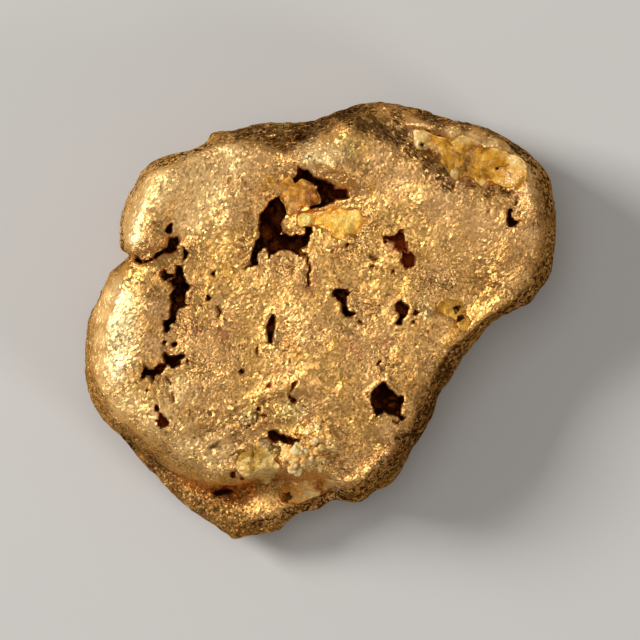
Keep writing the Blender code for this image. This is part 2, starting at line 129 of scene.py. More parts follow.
# %% Shader arithmetic
class Wire:
    """One output of a material's node tree. Arithmetic on it adds Math nodes, and add() any other node."""

    def __init__(self, tree, socket=None):
        self.tree = tree
        self.socket = socket

    def add(self, kind, settings=(), inputs=(), output=0):
        """Add a node. Its settings and a ramp's stops are set first, then the values or wires of its sockets."""
        node = self.tree.nodes.new("ShaderNode" + kind)
        for name, value in dict(settings).items():
            if name == "stops":
                while len(node.color_ramp.elements) < len(value):
                    node.color_ramp.elements.new(0.5)
                for stop, (place, colour) in zip(node.color_ramp.elements, value):
                    stop.position = place
                    stop.color = (*colour, 1)
            else:
                setattr(node, name, value)
        for name, value in dict(inputs).items():
            if isinstance(value, Wire):
                self.tree.links.new(value.socket, node.inputs[name])
            else:
                node.inputs[name].default_value = value
        return Wire(self.tree, node.outputs[output])

    def math(self, operation, *values):
        """A Math node of one or more values."""
        return self.add("Math", {"operation": operation}, enumerate(values))

    def vector(self, operation, *values):
        """The same for vectors."""
        return self.add("VectorMath", {"operation": operation}, enumerate(values))

    def __add__(self, other):
        return self.math("ADD", self, other)

    def __sub__(self, other):
        return self.math("SUBTRACT", self, other)

    def __mul__(self, other):
        return self.math("MULTIPLY", self, other)

    def __rsub__(self, other):
        return self.math("SUBTRACT", other, self)

    def highest(self, *others):
        """The greatest of this and the others."""
        most = self
        for other in others:
            most = self.math("MAXIMUM", most, other)
        return most

    __radd__ = __add__
    __rmul__ = __mul__

    def attribute(self, name):
        """A value stored on the mesh's points."""
        return self.add("Attribute", {"attribute_name": name}, output="Fac")

    def between(self, low, high):
        """0 below low, 1 above high, and a soft step from one to the other."""
        return self.add("MapRange", {"interpolation_type": "SMOOTHSTEP"}, {"Value": self, 1: low, 2: high})

    def mixed(self, share, first, second):
        """Colour: the first where share is 0, the second where it is 1. Each is a wire or (red, green, blue)."""
        first, second = (one if isinstance(one, Wire) else (*one, 1) for one in (first, second))
        return self.add("Mix", {"data_type": "RGBA"}, {0: share, 6: first, 7: second}, output=2)

    def layered(self, colour, layers):
        """A colour under layers, each with its share and its own colour."""
        for share, over in layers:
            colour = self.mixed(share, colour, over)
        return colour

    def place(self, size, stretch=(1, 1, 1), turn=0.0):
        """Object coordinates counted in sizes of so many millimetres, drawn out along axes turned about Z."""
        turned = self.add("Mapping", {"vector_type": "POINT"}, {
            "Vector": self.add("TexCoord", output="Object"),
            "Rotation": (0, 0, -math.radians(turn)),
        })
        return self.vector("MULTIPLY", turned, tuple(1 / (size * MM * along) for along in stretch))

    def noise(self, size, stretch=(1, 1, 1), turn=0.0, detail=2.0):
        """Noise whose lumps are about the size in millimetres."""
        inputs = {"Vector": self.place(size, stretch, turn), "Scale": 1.0, "Detail": detail}
        return self.add("TexNoise", inputs=inputs, output="Fac")

    def crumbs(self, size):
        """Uneven crumbs about the size in millimetres: 0 at their middles, and 0.5 to 0.8 in the valleys between.
        Noise bends the coordinates, so that no two crumbs are alike."""
        place = self.place(size)
        bend = self.add("TexNoise", inputs={"Vector": place, "Scale": 0.9, "Detail": 3.0}, output="Color")
        bent = self.vector("MULTIPLY_ADD", bend, (2.6, 2.6, 2.6), place)
        return self.add("TexVoronoi", inputs={"Vector": bent, "Scale": 1.0}, output="Distance")

    def facets(self, size, tilt, stretch=(1, 1, 1), turn=0.0):
        """The surface's normal, tilted by chance from one small cell to the next, so that each glints alone."""
        place = self.place(size, stretch, turn)
        chance = self.add("TexVoronoi", inputs={"Vector": place, "Scale": 1.0}, output="Color")
        lean = self.vector("MULTIPLY_ADD", chance, (2, 2, 2), (-1, -1, -1))
        lean = self.add("VectorMath", {"operation": "SCALE"}, {0: lean, "Scale": tilt})
        return self.vector("NORMALIZE", self.vector("ADD", self.add("NewGeometry", output="Normal"), lean))

    def bumped(self, height, distance, normal):
        """A normal that follows a height, of so many millimetres for each 1, on top of another normal."""
        return self.add("Bump", inputs={
            "Strength": 1.0, "Distance": distance * MM, "Height": height, "Normal": normal,
        }, output="Normal")


def new_finish(name):
    """A material with a Principled shader, and a wire to build its tree from."""
    made = bpy.data.materials.new(name)
    made.use_nodes = True
    return made, made.node_tree.nodes["Principled BSDF"], Wire(made.node_tree)


def plug(shader, socket, wire):
    """Link a wire to one socket of a shader."""
    wire.tree.links.new(wire.socket, shader.inputs[socket])


# %% Floor
FLOOR_RADIUS = 2.0
FLOOR_POINTS = 96
FLOOR_GAP = 0.02  # so that the floor and the worn flats don't share a plane

turns = np.linspace(0, 2 * math.pi, FLOOR_POINTS, endpoint=False)
ring = np.column_stack([np.cos(turns), np.sin(turns), np.zeros(FLOOR_POINTS)]) * FLOOR_RADIUS
ring[:, 2] = cad_lo[2] - FLOOR_GAP * MM
floor_mesh = bpy.data.meshes.new("floor")
floor_mesh.from_pydata(ring.tolist(), [], [list(range(FLOOR_POINTS))])
floor = bpy.data.objects.new("floor", floor_mesh)
bpy.context.scene.collection.objects.link(floor)
card, card_shader, _ = new_finish("pale_card")
card_shader.inputs["Base Color"].default_value = (0.6, 0.58, 0.55, 1)
card_shader.inputs["Roughness"].default_value = 0.85
floor_mesh.materials.append(card)
print("floor across in m:", 2 * FLOOR_RADIUS)

# %% [markdown]
# ## The lump of gold
# It has an outline seen from above, an upper face, an underside, and a rounded edge between them. The face could
# be sculpted by hand or scattered with random bumps. Here every form of it is a named line with a rise and a
# reach, so each can be read and moved, and the same list has already made the plain solid.

# %% Outline and edge
CENTRE = (-0.8, 0.9)  # where the outline's radii start
OUTLINE = [
    (10.0, 3.8), (9.8, 5.7), (9.25, 6.7), (8.35, 7.5), (7.3, 8.1), (6.1, 8.4), (4.95, 8.65), (3.95, 9.0), (2.8, 9.2),
    (1.8, 9.15), (0.95, 8.95), (0.0, 8.55), (-0.9, 8.45), (-1.8, 8.45), (-2.7, 8.35), (-3.6, 8.1), (-4.5, 7.95),
    (-4.95, 7.5), (-5.5, 7.15), (-6.35, 7.05), (-7.3, 6.55), (-7.9, 5.7), (-8.3, 4.8), (-8.45, 3.75), (-8.4, 3.1),
    (-8.1, 2.8), (-8.4, 2.45), (-8.9, 1.95), (-9.35, 1.0), (-9.8, 0.0), (-9.95, -1.25), (-9.95, -2.3), (-9.75, -3.2),
    (-9.25, -4.1), (-8.45, -4.85), (-7.1, -6.4), (-5.65, -7.85), (-4.0, -9.0), (-3.6, -9.25), (-3.0, -9.15),
    (-1.9, -8.95), (-1.35, -8.45), (-0.8, -8.15), (0.0, -8.0), (0.6, -7.6), (1.65, -7.65), (2.35, -7.2), (3.05, -6.8),
    (3.55, -6.2), (3.95, -5.35), (4.65, -4.2), (5.05, -3.15), (5.5, -2.45), (6.2, -1.35), (7.25, -0.1), (8.1, 0.4),
    (8.95, 0.8), (9.3, 1.25), (9.8, 2.05),
]
# Width of the rounded edge at angles in degrees about CENTRE.
EDGE_WIDTH = {0: 1.1, 40: 0.9, 75: 0.8, 105: 0.8, 135: 0.8, 155: 0.6, 180: 1.0, 205: 1.1, 230: 1.0, 260: 1.0,
              290: 0.9, 310: 1.1, 335: 1.2}
FAN = math.radians(13)  # to either side of each angle
LEAST_EDGE = 0.4


def smooth_step(share):
    """0 to 1 with level ends: three times the square less twice the cube."""
    share = np.clip(share, 0, 1)
    return share**2 * (3 - 2 * share)


def closed_curve(points, steps=8):
    """Points of a closed Catmull-Rom curve through the given ones."""
    at = np.array(points)
    before, after, second = np.roll(at, 1, axis=0), np.roll(at, -1, axis=0), np.roll(at, -2, axis=0)
    share = np.linspace(0, 1, steps, endpoint=False)[None, :, None]
    at, before, after, second = (row[:, None, :] for row in (at, before, after, second))
    first_order = (after - before) * share
    second_order = (2 * before - 5 * at + 4 * after - second) * share**2
    third_order = (3 * at - before - 3 * after + second) * share**3
    return (at + 0.5 * (first_order + second_order + third_order)).reshape(-1, 2)


def ring_radius(angle, points, centre):
    """Radius about centre, at each angle, of the closed curve through the points."""
    ring = closed_curve(points) - centre
    return np.interp(angle, np.arctan2(ring[:, 1], ring[:, 0]), np.hypot(ring[:, 0], ring[:, 1]),
                     period=2 * math.pi)


def edge_width(angle):
    """Width of the rounded edge at each angle: broad on the worn left shoulder, tight at the back. Its inner
    side follows the outline's mean over a fan of angles, so that a notch bites into the edge alone."""
    width = np.interp(np.degrees(angle), list(EDGE_WIDTH), list(EDGE_WIDTH.values()), period=360)
    fan = np.mean([ring_radius(angle + turn, OUTLINE, CENTRE) for turn in np.linspace(-FAN, FAN, 9)], axis=0)
    return np.maximum(width + ring_radius(angle, OUTLINE, CENTRE) - fan, LEAST_EDGE)


print("outline points:", len(OUTLINE))

# %% Low forms
FACE_HEIGHT = 6.0
LEDGE_DROP = 2.5
LEDGE_STEP = 0.6
BELLY_HEIGHT = 0.6
SINK, SINK_START, SINK_RUN = 0.9, 2.0, 6.0  # how far the face sinks towards its lower end, from where, over how long
SLANT = 0.04  # and how far for each millimetre to the right
TIP, TIP_REACH, TIP_DROP = 253, 40, 1.1  # the thin lower tip: its angle and reach in degrees, and how low its rim is
LEDGE_LINE = [(-9.5, -5.6), (-8.4, -5.3), (-7.2, -5.6), (-6.0, -6.4), (-4.7, -7.0), (-3.4, -7.0), (-2.4, -6.5),
              (-1.2, -6.5), (0.0, -6.6), (1.0, -7.3), (2.2, -8.6)]
# Rise, reach to either side, and the line that each form of the upper face follows.
FORMS = {
    "upper_left_lip": (0.55, 1.3, [(-6.5, 6.2), (-6.9, 4.8), (-7.0, 3.6)]),
    "left_lip": (0.65, 1.5, [(-7.3, 1.6), (-7.5, 0.0), (-7.5, -1.9), (-7.2, -3.4), (-6.8, -4.2)]),
    "left_trough": (-0.2, 0.7, [(-6.1, 4.1), (-5.9, 2.5), (-5.85, 0.7), (-6.35, -1.0), (-7.2, -3.0)]),
    "notch_crease": (-0.35, 0.35, [(-8.6, 2.8), (-7.8, 2.6), (-6.8, 2.8), (-6.1, 3.3)]),
    "back_crease": (-0.9, 0.4, [(-3.6, 8.2), (-2.6, 8.0), (-1.1, 7.55), (-0.5, 7.8), (0.45, 8.3)]),
    "quartz_hollow": (-0.35, 0.7, [(2.8, 8.6), (4.4, 7.8), (6.0, 7.1), (7.4, 6.5)]),
    "hollow_shoulder": (0.15, 0.8, [(0.9, 7.9), (2.3, 7.3), (3.4, 6.3), (4.6, 5.4), (6.2, 4.6), (7.6, 4.7)]),
    "right_lip": (0.3, 0.55, [(4.3, 8.75), (5.75, 8.3), (7.25, 7.8), (8.7, 6.7), (9.1, 5.2)]),
    "lower_groove": (-0.7, 0.5, [(-8.4, -5.2), (-7.2, -5.5), (-6.0, -6.4), (-4.7, -7.1), (-3.4, -7.2)]),
    "crumbs": (0.55, 0.8, [(-0.8, -5.7), (0.5, -5.2)]),
    "lower_right_fold": (0.14, 0.35, [(3.4, -5.4), (2.9, -6.4), (1.5, -6.9)]),
    "lower_right_dip": (-0.1, 0.4, [(2.4, -5.3), (1.6, -6.2)]),
    "upper_ripple": (0.12, 0.3, [(-5.9, -4.6), (-4.0, -3.7), (-2.3, -3.05), (-0.8, -2.7)]),
    "lower_ripple": (0.14, 0.3, [(-4.9, -5.3), (-2.95, -4.4), (-1.25, -3.9)]),
    "centre_bowl": (-0.5, 1.3, [(-1.5, 4.5), (0.5, 5.1)]),
    "centre_brow": (0.35, 0.6, [(-0.8, 7.1), (0.5, 6.8), (1.5, 6.2)]),
    "right_dip": (-0.3, 1.2, [(5.2, -1.2), (6.6, 1.0)]),
}
UNDERSIDE = {
    "left_foot": (-1.2, 2.4, [(-5.0, 1.8)]),
    "right_foot": (-1.2, 2.4, [(4.2, 4.6)]),
    "lower_foot": (-1.2, 2.2, [(0.0, -3.7)]),
    "belly_groove": (0.8, 0.8, [(-6.0, -2.8), (-3.0, -0.8), (0.5, 0.8), (5.0, 0.6)]),
    "belly_dimple": (0.7, 1.0, [(-1.2, 5.0)]),
    "heel_dimple": (0.6, 0.9, [(-3.6, -5.6)]),
    "right_crease": (0.6, 0.5, [(7.6, 5.6), (8.0, 3.6), (7.2, 2.0)]),
}


def bell(share):
    """1 at 0, falling softly on both sides to nothing past 2."""
    return np.exp(-(share**2))


def stroke_gap(x, y, run):
    """Distance in plan to the edge of the nearest stroke of a run, negative inside. A stroke is a line whose half
    width changes evenly from one end to the other."""
    gap = np.hypot(x - run[0][0], y - run[0][1]) - run[0][2]
    for (x0, y0, half0), (x1, y1, half1) in zip(run, run[1:]):
        along_x, along_y = x1 - x0, y1 - y0
        share = np.clip(((x - x0) * along_x + (y - y0) * along_y) / (along_x**2 + along_y**2), 0, 1)
        away = np.hypot(x - x0 - share * along_x, y - y0 - share * along_y)
        gap = np.minimum(gap, away - half0 - share * (half1 - half0))
    return gap


def distance_to_line(x, y, line):
    """Distance in plan from each point to the nearest place on an open line of points."""
    return stroke_gap(x, y, [(*place, 0.0) for place in line])


def form_height(x, y, forms):
    """Sum of soft ridges and troughs: each is its rise times a bell curve of the distance to its line."""
    total = 0.0
    for rise, reach, line in forms.values():
        total = total + rise * bell(distance_to_line(x, y, line) / reach)
    return total


def rolling(x, y, size, seed):
    """Uneven ground between -1 and 1: the mean of eight crossing sine waves in seeded directions."""
    chance = np.random.default_rng(seed)
    total = np.zeros_like(x)
    for turn, shift, stretch in chance.random((8, 3)):
        run = x * math.cos(2 * math.pi * turn) + y * math.sin(2 * math.pi * turn)
        total += np.sin(2 * math.pi * (run / (size * (0.7 + 0.6 * stretch)) + shift))
    return total / 8


def face_height(x, y):
    """Height of the upper face: level, less the ledge's step and a slow sink, plus uneven ground and forms."""
    line_x, line_y = np.array(LEDGE_LINE).T
    below = np.interp(x, line_x, line_y) - y
    ledge = LEDGE_DROP * smooth_step(below / LEDGE_STEP + 0.5)
    sink = SINK * smooth_step((-y - SINK_START) / SINK_RUN) + SLANT * np.clip(x, 0, None)
    uneven = 0.18 * rolling(x, y, 4.2, 3) + 0.08 * rolling(x, y, 1.9, 5)
    return FACE_HEIGHT - ledge - sink + uneven + form_height(x, y, FORMS)


def belly_height(x, y):
    """Height of the underside, worn flat where it would go under 0."""
    uneven = BELLY_HEIGHT + 0.3 * rolling(x, y, 3.4, 11) + 0.14 * rolling(x, y, 1.7, 12)
    return np.maximum(uneven + form_height(x, y, UNDERSIDE), 0)


def rim_height(angle):
    """Height of the widest line, which wanders slowly and is lowest at the thin lower tip."""
    from_tip = (np.degrees(angle) - TIP + 180) % 360 - 180
    wander = 0.25 * np.sin(3 * angle + 0.6) + 0.15 * np.sin(7 * angle)
    return RIM_HEIGHT - TIP_DROP * bell(from_tip / TIP_REACH) + wander


print("forms:", len(FORMS), "above,", len(UNDERSIDE), "below")

# %% [markdown]
# ### One skin from two sheets
# Each sheet is a square grid pressed onto a disc. The upper one runs level over the face and then takes a quarter
# turn down to the rim. The lower one does the same from beneath with half as many cells, because it shows less,
# and a strip of triangles joins every two cells of the rim above to one below.

# %% Sheets
FLAT_SHARE = 0.74  # share of the cells inside the rounded edge
SIDE_DENTS = 0.3
FACE_CELLS = 276
UNDER_CELLS = FACE_CELLS // 2
UNDER_SHARE = 1 - 1.2 / UNDER_CELLS  # the lower sheet stops this far short of the rim


def disc_grid(cells):
    """A square grid pressed onto a unit disc: each point's distance from the middle, and its angle."""
    line = np.linspace(-1, 1, cells + 1)
    across, up = np.meshgrid(line, line)
    disc_x = across * np.sqrt(1 - up**2 / 2)
    disc_y = up * np.sqrt(1 - across**2 / 2)
    return np.hypot(disc_x, disc_y), np.arctan2(disc_y, disc_x)


def around(centre, reach, angle):
    """The x and y of points at each reach and angle about a centre."""
    return centre[0] + reach * np.cos(angle), centre[1] + reach * np.sin(angle)


def sheet(share, angle, height, seed):
    """Level to FLAT_SHARE, then a quarter turn: out by its sine, and by its cosine down to the rim's height."""
    radius, width = ring_radius(angle, OUTLINE, CENTRE), edge_width(angle)
    turn = np.clip((share - FLAT_SHARE) / (1 - FLAT_SHARE), 0, 1) * math.pi / 2
    reach = (radius - width) * np.minimum(share / FLAT_SHARE, 1) + width * np.sin(turn)
    dents = rolling(9 * np.cos(angle) + 4 * turn, 9 * np.sin(angle), 2.6, seed)
    x, y = around(CENTRE, reach + SIDE_DENTS * np.sin(2 * turn) * dents, angle)
    rim = rim_height(angle)
    return np.stack([x, y, rim + (height(x, y) - rim) * np.cos(turn)], axis=-1)


def quads(number):
    """Four-sided faces of a grid of point numbers, anticlockwise seen from its front."""
    corners = [number[:-1, :-1], number[:-1, 1:], number[1:, 1:], number[1:, :-1]]
    return np.stack(corners, axis=-1).reshape(-1, 4)


def move_points(mesh, points, sharp):
    """Put a mesh's points at new places, and smooth it except at edges sharper than so many degrees."""
    mesh.vertices.foreach_set("co", (points * MM).astype(np.float32).ravel())
    mesh.shade_smooth()
    mesh.set_sharp_from_angle(angle=math.radians(sharp))


def border(number):
    """The outer row of a grid of point numbers, once round anticlockwise."""
    return np.concatenate([number[0, :-1], number[:-1, -1], number[-1, :0:-1], number[:0:-1, 0]])


def closed_skin(name, upper, lower):
    """A closed mesh of an upper grid, a lower one with half as many cells, and the strip between their rims."""
    above = np.arange(upper.shape[0] ** 2).reshape(upper.shape[:2])
    below = above.size + np.arange(lower.shape[0] ** 2).reshape(lower.shape[:2])
    rim, foot = border(above), border(below)
    first, middle, last = rim[0::2], rim[1::2], np.roll(rim, -2)[0::2]
    ahead = np.roll(foot, -1)
    strip = np.concatenate([
        np.column_stack([first, foot, middle]),
        np.column_stack([middle, foot, ahead]),
        np.column_stack([middle, ahead, last]),
    ])
    faces = quads(above).tolist() + quads(below)[:, ::-1].tolist() + strip.tolist()
    points = np.concatenate([upper.reshape(-1, 3), lower.reshape(-1, 3)])
    mesh = bpy.data.meshes.new(name)
    mesh.from_pydata((points * MM).tolist(), [], faces)
    return mesh, points


face_share, face_angle = disc_grid(FACE_CELLS)
upper = sheet(face_share, face_angle, face_height, 21)
under_share, under_angle = disc_grid(UNDER_CELLS)
lower = sheet(under_share * UNDER_SHARE, under_angle, belly_height, 22)
node_lo, node_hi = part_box("gold_body")
node_middle = (np.array(node_lo) + np.array(node_hi))[:2] / 2 / MM
shift = node_middle - (upper.min(axis=(0, 1)) + upper.max(axis=(0, 1)))[:2] / 2
print("face points:", upper.shape[:2], "under points:", lower.shape[:2], "shift in mm:", shift.round(3))

# %% [markdown]
# ### Pits
# The gold grew round quartz that has since been lost, so its pits are torn, deep and steep-sided. A Boolean cut
# would do, as in the plain solid, but its edge would be clean. Here each pit has an outline, and a point's gap is
# its distance to that outline, negative inside. Noise moves the points before they are measured, which tears the
# edge further.

# %% Pit outlines
# Depth, how red the inside is, and the outline seen from above.
PITS = {
    "west_spur": (1.2, 0.0, [
        (-6.35, 4.13), (-6.25, 4.08), (-6.31, 3.87), (-6.27, 3.8), (-6.46, 3.68), (-6.52, 3.81), (-6.46, 4.04),
    ]),
    "west_crack": (1.2, 0.15, [
        (-6.44, 3.55), (-6.19, 3.49), (-6.12, 3.6), (-5.92, 3.28), (-6.13, 3.19), (-5.95, 3.07), (-6.37, 2.87),
        (-6.56, 2.91), (-6.91, 2.69), (-7.0, 2.56), (-7.28, 2.45), (-7.63, 2.43), (-7.87, 2.69), (-7.68, 2.69),
        (-7.48, 2.54), (-7.12, 2.64), (-6.85, 2.96), (-6.48, 3.09), (-6.45, 3.4),
    ]),
    "west_slit": (0.9, 0.0, [(-5.84, 3.12), (-5.76, 3.09), (-5.57, 2.8), (-5.77, 2.53), (-5.8, 2.83)]),
    "west_gap": (1.8, 0.0, [
        (-5.89, 2.33), (-5.72, 2.3), (-5.8, 1.95), (-5.64, 1.63), (-5.49, 1.47), (-5.63, 1.25), (-5.67, 0.8),
        (-5.55, 0.61), (-6.0, 0.59), (-6.09, 0.27), (-6.16, -0.1), (-6.37, -0.16), (-6.39, -0.43), (-6.6, -0.45),
        (-6.64, 0.03), (-6.35, 0.16), (-6.25, 0.8), (-6.29, 1.15), (-6.11, 1.44), (-6.41, 1.68), (-6.09, 1.92),
        (-6.06, 2.24),
    ]),
    "west_dot": (0.7, 0.1, [(-6.64, 2.21), (-6.45, 2.02), (-6.17, 2.0), (-6.17, 1.9), (-6.63, 1.76), (-6.79, 2.0)]),
    "west_low": (1.2, 0.0, [
        (-6.62, -1.36), (-6.24, -1.49), (-5.9, -1.38), (-5.73, -1.43), (-5.9, -1.72), (-5.84, -1.88), (-6.16, -2.02),
        (-6.52, -1.84), (-6.6, -1.6),
    ]),
    "west_low_slit": (0.8, 0.0, [(-5.68, -1.58), (-5.51, -1.81), (-5.68, -1.78)]),
    "west_low_spur": (0.9, 0.1, [
        (-6.76, -1.76), (-6.62, -1.79), (-6.5, -1.9), (-6.7, -2.2), (-6.98, -2.24), (-7.02, -2.58), (-7.14, -2.66),
        (-7.16, -2.3), (-7.36, -2.32), (-7.5, -2.5), (-7.66, -2.52), (-7.46, -2.16), (-7.42, -1.82), (-7.26, -2.06),
        (-6.96, -1.98),
    ]),
    "west_foot": (0.7, 0.5, [(-6.97, -3.53), (-6.79, -3.6), (-6.85, -3.86), (-7.02, -3.79)]),
    "west_foot_low": (0.7, 0.5, [
        (-6.82, -3.86), (-6.6, -4.0), (-6.3, -4.47), (-6.72, -4.54), (-6.95, -4.2), (-6.8, -4.14),
    ]),
    "centre_left": (2.6, 0.14, [
        (-1.8, 5.22), (-1.5, 5.02), (-1.38, 4.6), (-1.66, 4.14), (-1.58, 3.84), (-1.68, 3.72), (-1.44, 3.66),
        (-0.8, 3.62), (-0.6, 3.74), (-0.56, 4.04), (-0.28, 4.02), (-0.4, 3.48), (-0.6, 3.2), (-0.8, 3.08),
        (-0.8, 2.8), (-0.92, 2.9), (-1.56, 3.0), (-2.0, 2.86), (-2.08, 2.68), (-2.24, 3.08), (-2.45, 3.08),
        (-2.62, 2.84), (-2.64, 2.36), (-2.78, 2.3), (-2.94, 2.5), (-2.82, 3.12), (-2.54, 3.6), (-2.55, 4.5),
        (-2.3, 4.8), (-2.2, 5.02), (-2.0, 5.14),
    ]),
    "centre_top": (2.0, 0.3, [
        (-0.9, 6.5), (-0.5, 6.38), (-0.28, 6.12), (0.08, 5.96), (0.6, 5.8), (0.68, 5.62), (1.0, 5.66), (1.26, 5.34),
        (1.3, 5.18), (1.0, 5.12), (0.86, 5.2), (0.44, 5.02), (0.1, 4.8), (-0.44, 4.74), (-0.36, 4.98), (-0.06, 5.12),
        (-0.18, 5.48), (-0.08, 5.72), (-0.52, 5.98), (-0.8, 5.88), (-0.96, 5.7), (-1.18, 5.9), (-1.2, 6.02),
        (-1.0, 6.08),
    ]),
    "east_red": (0.9, 0.9, [
        (2.7, 3.53), (2.81, 3.65), (3.2, 3.61), (3.31, 3.89), (3.48, 3.86), (3.69, 3.36), (3.71, 2.88), (3.87, 2.91),
        (4.04, 2.63), (3.98, 2.33), (3.65, 2.24), (3.43, 2.52), (3.51, 2.95), (3.23, 3.08), (3.15, 3.28), (2.86, 3.5),
        (2.75, 3.25),
    ]),
    "east_crack": (0.9, 0.0, [
        (8.31, 4.97), (8.15, 4.67), (8.11, 4.42), (8.33, 4.25), (8.65, 4.25), (8.35, 4.07), (8.15, 3.98),
        (7.98, 4.09), (7.9, 4.25), (7.9, 4.58), (7.99, 4.7), (8.25, 4.83),
    ]),
    "mid_key": (1.2, 0.0, [
        (0.82, 1.45), (1.05, 1.36), (1.27, 1.16), (1.1, 0.98), (1.12, 0.7), (1.27, 0.42), (1.53, 0.36), (1.46, 0.17),
        (1.02, 0.19), (0.93, 0.31), (0.96, 0.6), (0.74, 0.98), (0.52, 1.1), (0.6, 1.3),
    ]),
    "mid_slot": (1.2, 0.0, [
        (-1.97, 0.34), (-1.88, 0.2), (-1.86, -0.25), (-2.0, -0.62), (-2.0, -0.98), (-2.17, -0.92), (-2.25, -0.4),
        (-2.2, 0.04),
    ]),
    "mid_east": (1.0, 0.15, [
        (3.4, 0.89), (3.51, 0.73), (3.79, 0.58), (3.66, 0.19), (3.46, 0.05), (3.52, -0.17), (3.34, -0.23),
        (3.2, -0.09), (3.37, 0.25), (3.16, 0.66), (3.26, 0.81),
    ]),
    "mid_dot": (0.6, 0.2, [(4.04, 0.5), (4.27, 0.36), (4.04, 0.24), (3.88, 0.31)]),
    "red_oval": (0.2, 1.0, [(-2.33, -2.75), (-2.14, -2.59), (-1.98, -2.6), (-2.05, -2.78), (-2.27, -2.88)]),
    "brown_hook": (0.35, 0.35, [
        (-1.16, -2.69), (-1.05, -2.56), (-0.88, -2.59), (-1.0, -2.79), (-1.27, -3.02), (-1.28, -3.12), (-1.01, -3.34),
        (-1.01, -3.55), (-1.3, -3.27), (-1.39, -3.12), (-1.19, -2.86),
    ]),
    "south_east": (2.0, 0.04, [
        (2.6, -2.62), (2.8, -2.6), (3.0, -2.9), (3.25, -3.16), (3.5, -3.21), (3.58, -3.35), (3.48, -3.6),
        (3.41, -4.0), (3.63, -4.12), (3.48, -4.2), (3.3, -4.13), (3.17, -3.98), (2.92, -3.92), (2.74, -3.74),
        (2.62, -3.88), (2.41, -4.03), (2.16, -3.6), (2.14, -3.2), (2.26, -2.92),
    ]),
    "south_slot": (1.2, 0.1, [
        (-2.13, -4.71), (-2.06, -4.6), (-1.82, -4.63), (-1.76, -4.77), (-1.3, -4.94), (-0.76, -5.02), (-1.04, -5.31),
        (-1.15, -5.2), (-1.35, -5.31), (-1.6, -5.14), (-2.08, -5.1), (-2.17, -4.85),
    ]),
    "foot_pit": (0.6, 0.1, [(-3.84, -6.53), (-3.8, -6.37), (-3.54, -6.27), (-3.56, -6.58), (-3.7, -6.7)]),
    "foot_slit": (0.4, 0.2, [
        (-4.6, -7.31), (-4.52, -7.18), (-3.9, -6.95), (-3.46, -7.0), (-3.54, -7.16), (-3.9, -7.34), (-4.42, -7.4),
    ]),
}
# Small round pits as (x, y, half width).
DOTS = [
    (-4.51, 2.04, 0.11), (-4.72, 0.95, 0.12), (-6.56, -0.91, 0.1), (-6.14, -1.0, 0.11), (1.12, 3.19, 0.09),
    (-3.36, -2.16, 0.12), (-3.36, -6.65, 0.1), (-7.35, -2.98, 0.08), (3.06, 2.13, 0.07), (-2.6, -3.74, 0.1),
    (2.5, -1.75, 0.08), (-1.61, -3.57, 0.06), (4.01, -0.04, 0.06), (7.1, 4.66, 0.06), (-7.12, -0.4, 0.07),
]
DOT_DEPTH = 0.4
# The cracks are only lines, with a half width and a depth for all.
CRACKS = [
    [(-0.8, 2.85), (-0.56, 2.8), (-0.5, 2.5), (-0.4, 2.2), (-0.53, 1.95), (-0.45, 1.5)],
    [(-4.35, 0.62), (-4.18, 0.4), (-4.31, 0.19)],
    [(2.08, 2.74), (2.42, 2.55)],
    [(2.19, 2.3), (2.44, 2.24)],
    [(-3.16, 2.25), (-2.85, 2.4)],
    [(8.31, 4.94), (8.33, 5.2)],
    [(1.66, 0.0), (1.8, -0.09)],
    [(-6.5, -2.42), (-6.4, -2.54), (-6.34, -2.72)],
    [(-6.26, -3.02), (-6.2, -3.38)],
    [(3.1, -4.24), (3.25, -4.32), (3.36, -4.27)],
    [(3.2, -4.93), (3.37, -5.0)],
    [(-2.63, -1.12), (-2.68, -1.33), (-2.61, -1.38)],
    [(7.78, 5.53), (8.13, 5.35)],
    [(-2.9, -3.95), (-2.5, -3.98), (-2.25, -4.02)],
    [(-3.1, -4.5), (-2.75, -4.3), (-2.55, -4.0)],
]
CRACK_HALF = 0.04
CRACK_DEPTH = 0.2
WALL = 0.05  # how far in from its edge a pit reaches its full depth
# The pits of the underside, in the same order.
UNDER_PITS = {
    "under_hole": (1.2, 0.1, [
        (-1.5, 1.7), (-1.3, 2.15), (-0.6, 2.75), (0.3, 2.6), (0.6, 2.2), (-0.2, 1.9), (-1.0, 1.6),
    ]),
    "under_left_pit": (1.0, 0.1, [
        (-4.8, -2.8), (-4.3, -2.65), (-3.5, -3.0), (-3.3, -3.4), (-3.8, -3.65), (-4.5, -3.2),
    ]),
    "under_right_pit": (0.9, 0.4, [(5.7, 2.2), (6.2, 2.7), (6.8, 2.8), (7.2, 2.3), (6.5, 2.1)]),
}


LATTICE = 32  # values along each side of the noise's lattice, which repeats


def lattice_noise(points, size, seed, stretch=(1, 1, 1), turn=0.0):
    """Smooth noise between -1 and 1: seeded values on a cubic lattice, blended by smooth steps between its
    corners. The lattice is size apart, drawn out by stretch along axes turned about Z."""
    table = np.random.default_rng(seed).uniform(-1, 1, (LATTICE,) * 3)
    x, y, z = np.moveaxis(points, -1, 0)
    cos, sin = math.cos(math.radians(turn)), math.sin(math.radians(turn))
    place = np.stack([x * cos + y * sin, y * cos - x * sin, z], axis=-1) / (size * np.array(stretch))
    cell = np.floor(place).astype(int)
    share = smooth_step(place - cell)
    total = np.zeros(points.shape[:-1])
    for corner in itertools.product((0, 1), repeat=3):
        weight = np.prod(np.where(corner, share, 1 - share), axis=-1)
        index = (cell + corner) % LATTICE
        total += weight * table[index[..., 0], index[..., 1], index[..., 2]]
    return total


def nudges(points, size, seed):
    """Two noises, with this seed and the next, to move points along X and along Y."""
    return np.stack([lattice_noise(points, size, seed + axis) for axis in (0, 1)])


def level(x, y):
    """Points in plan as points in space, at height 0."""
    return np.stack([x, y, np.zeros_like(x)], axis=-1)


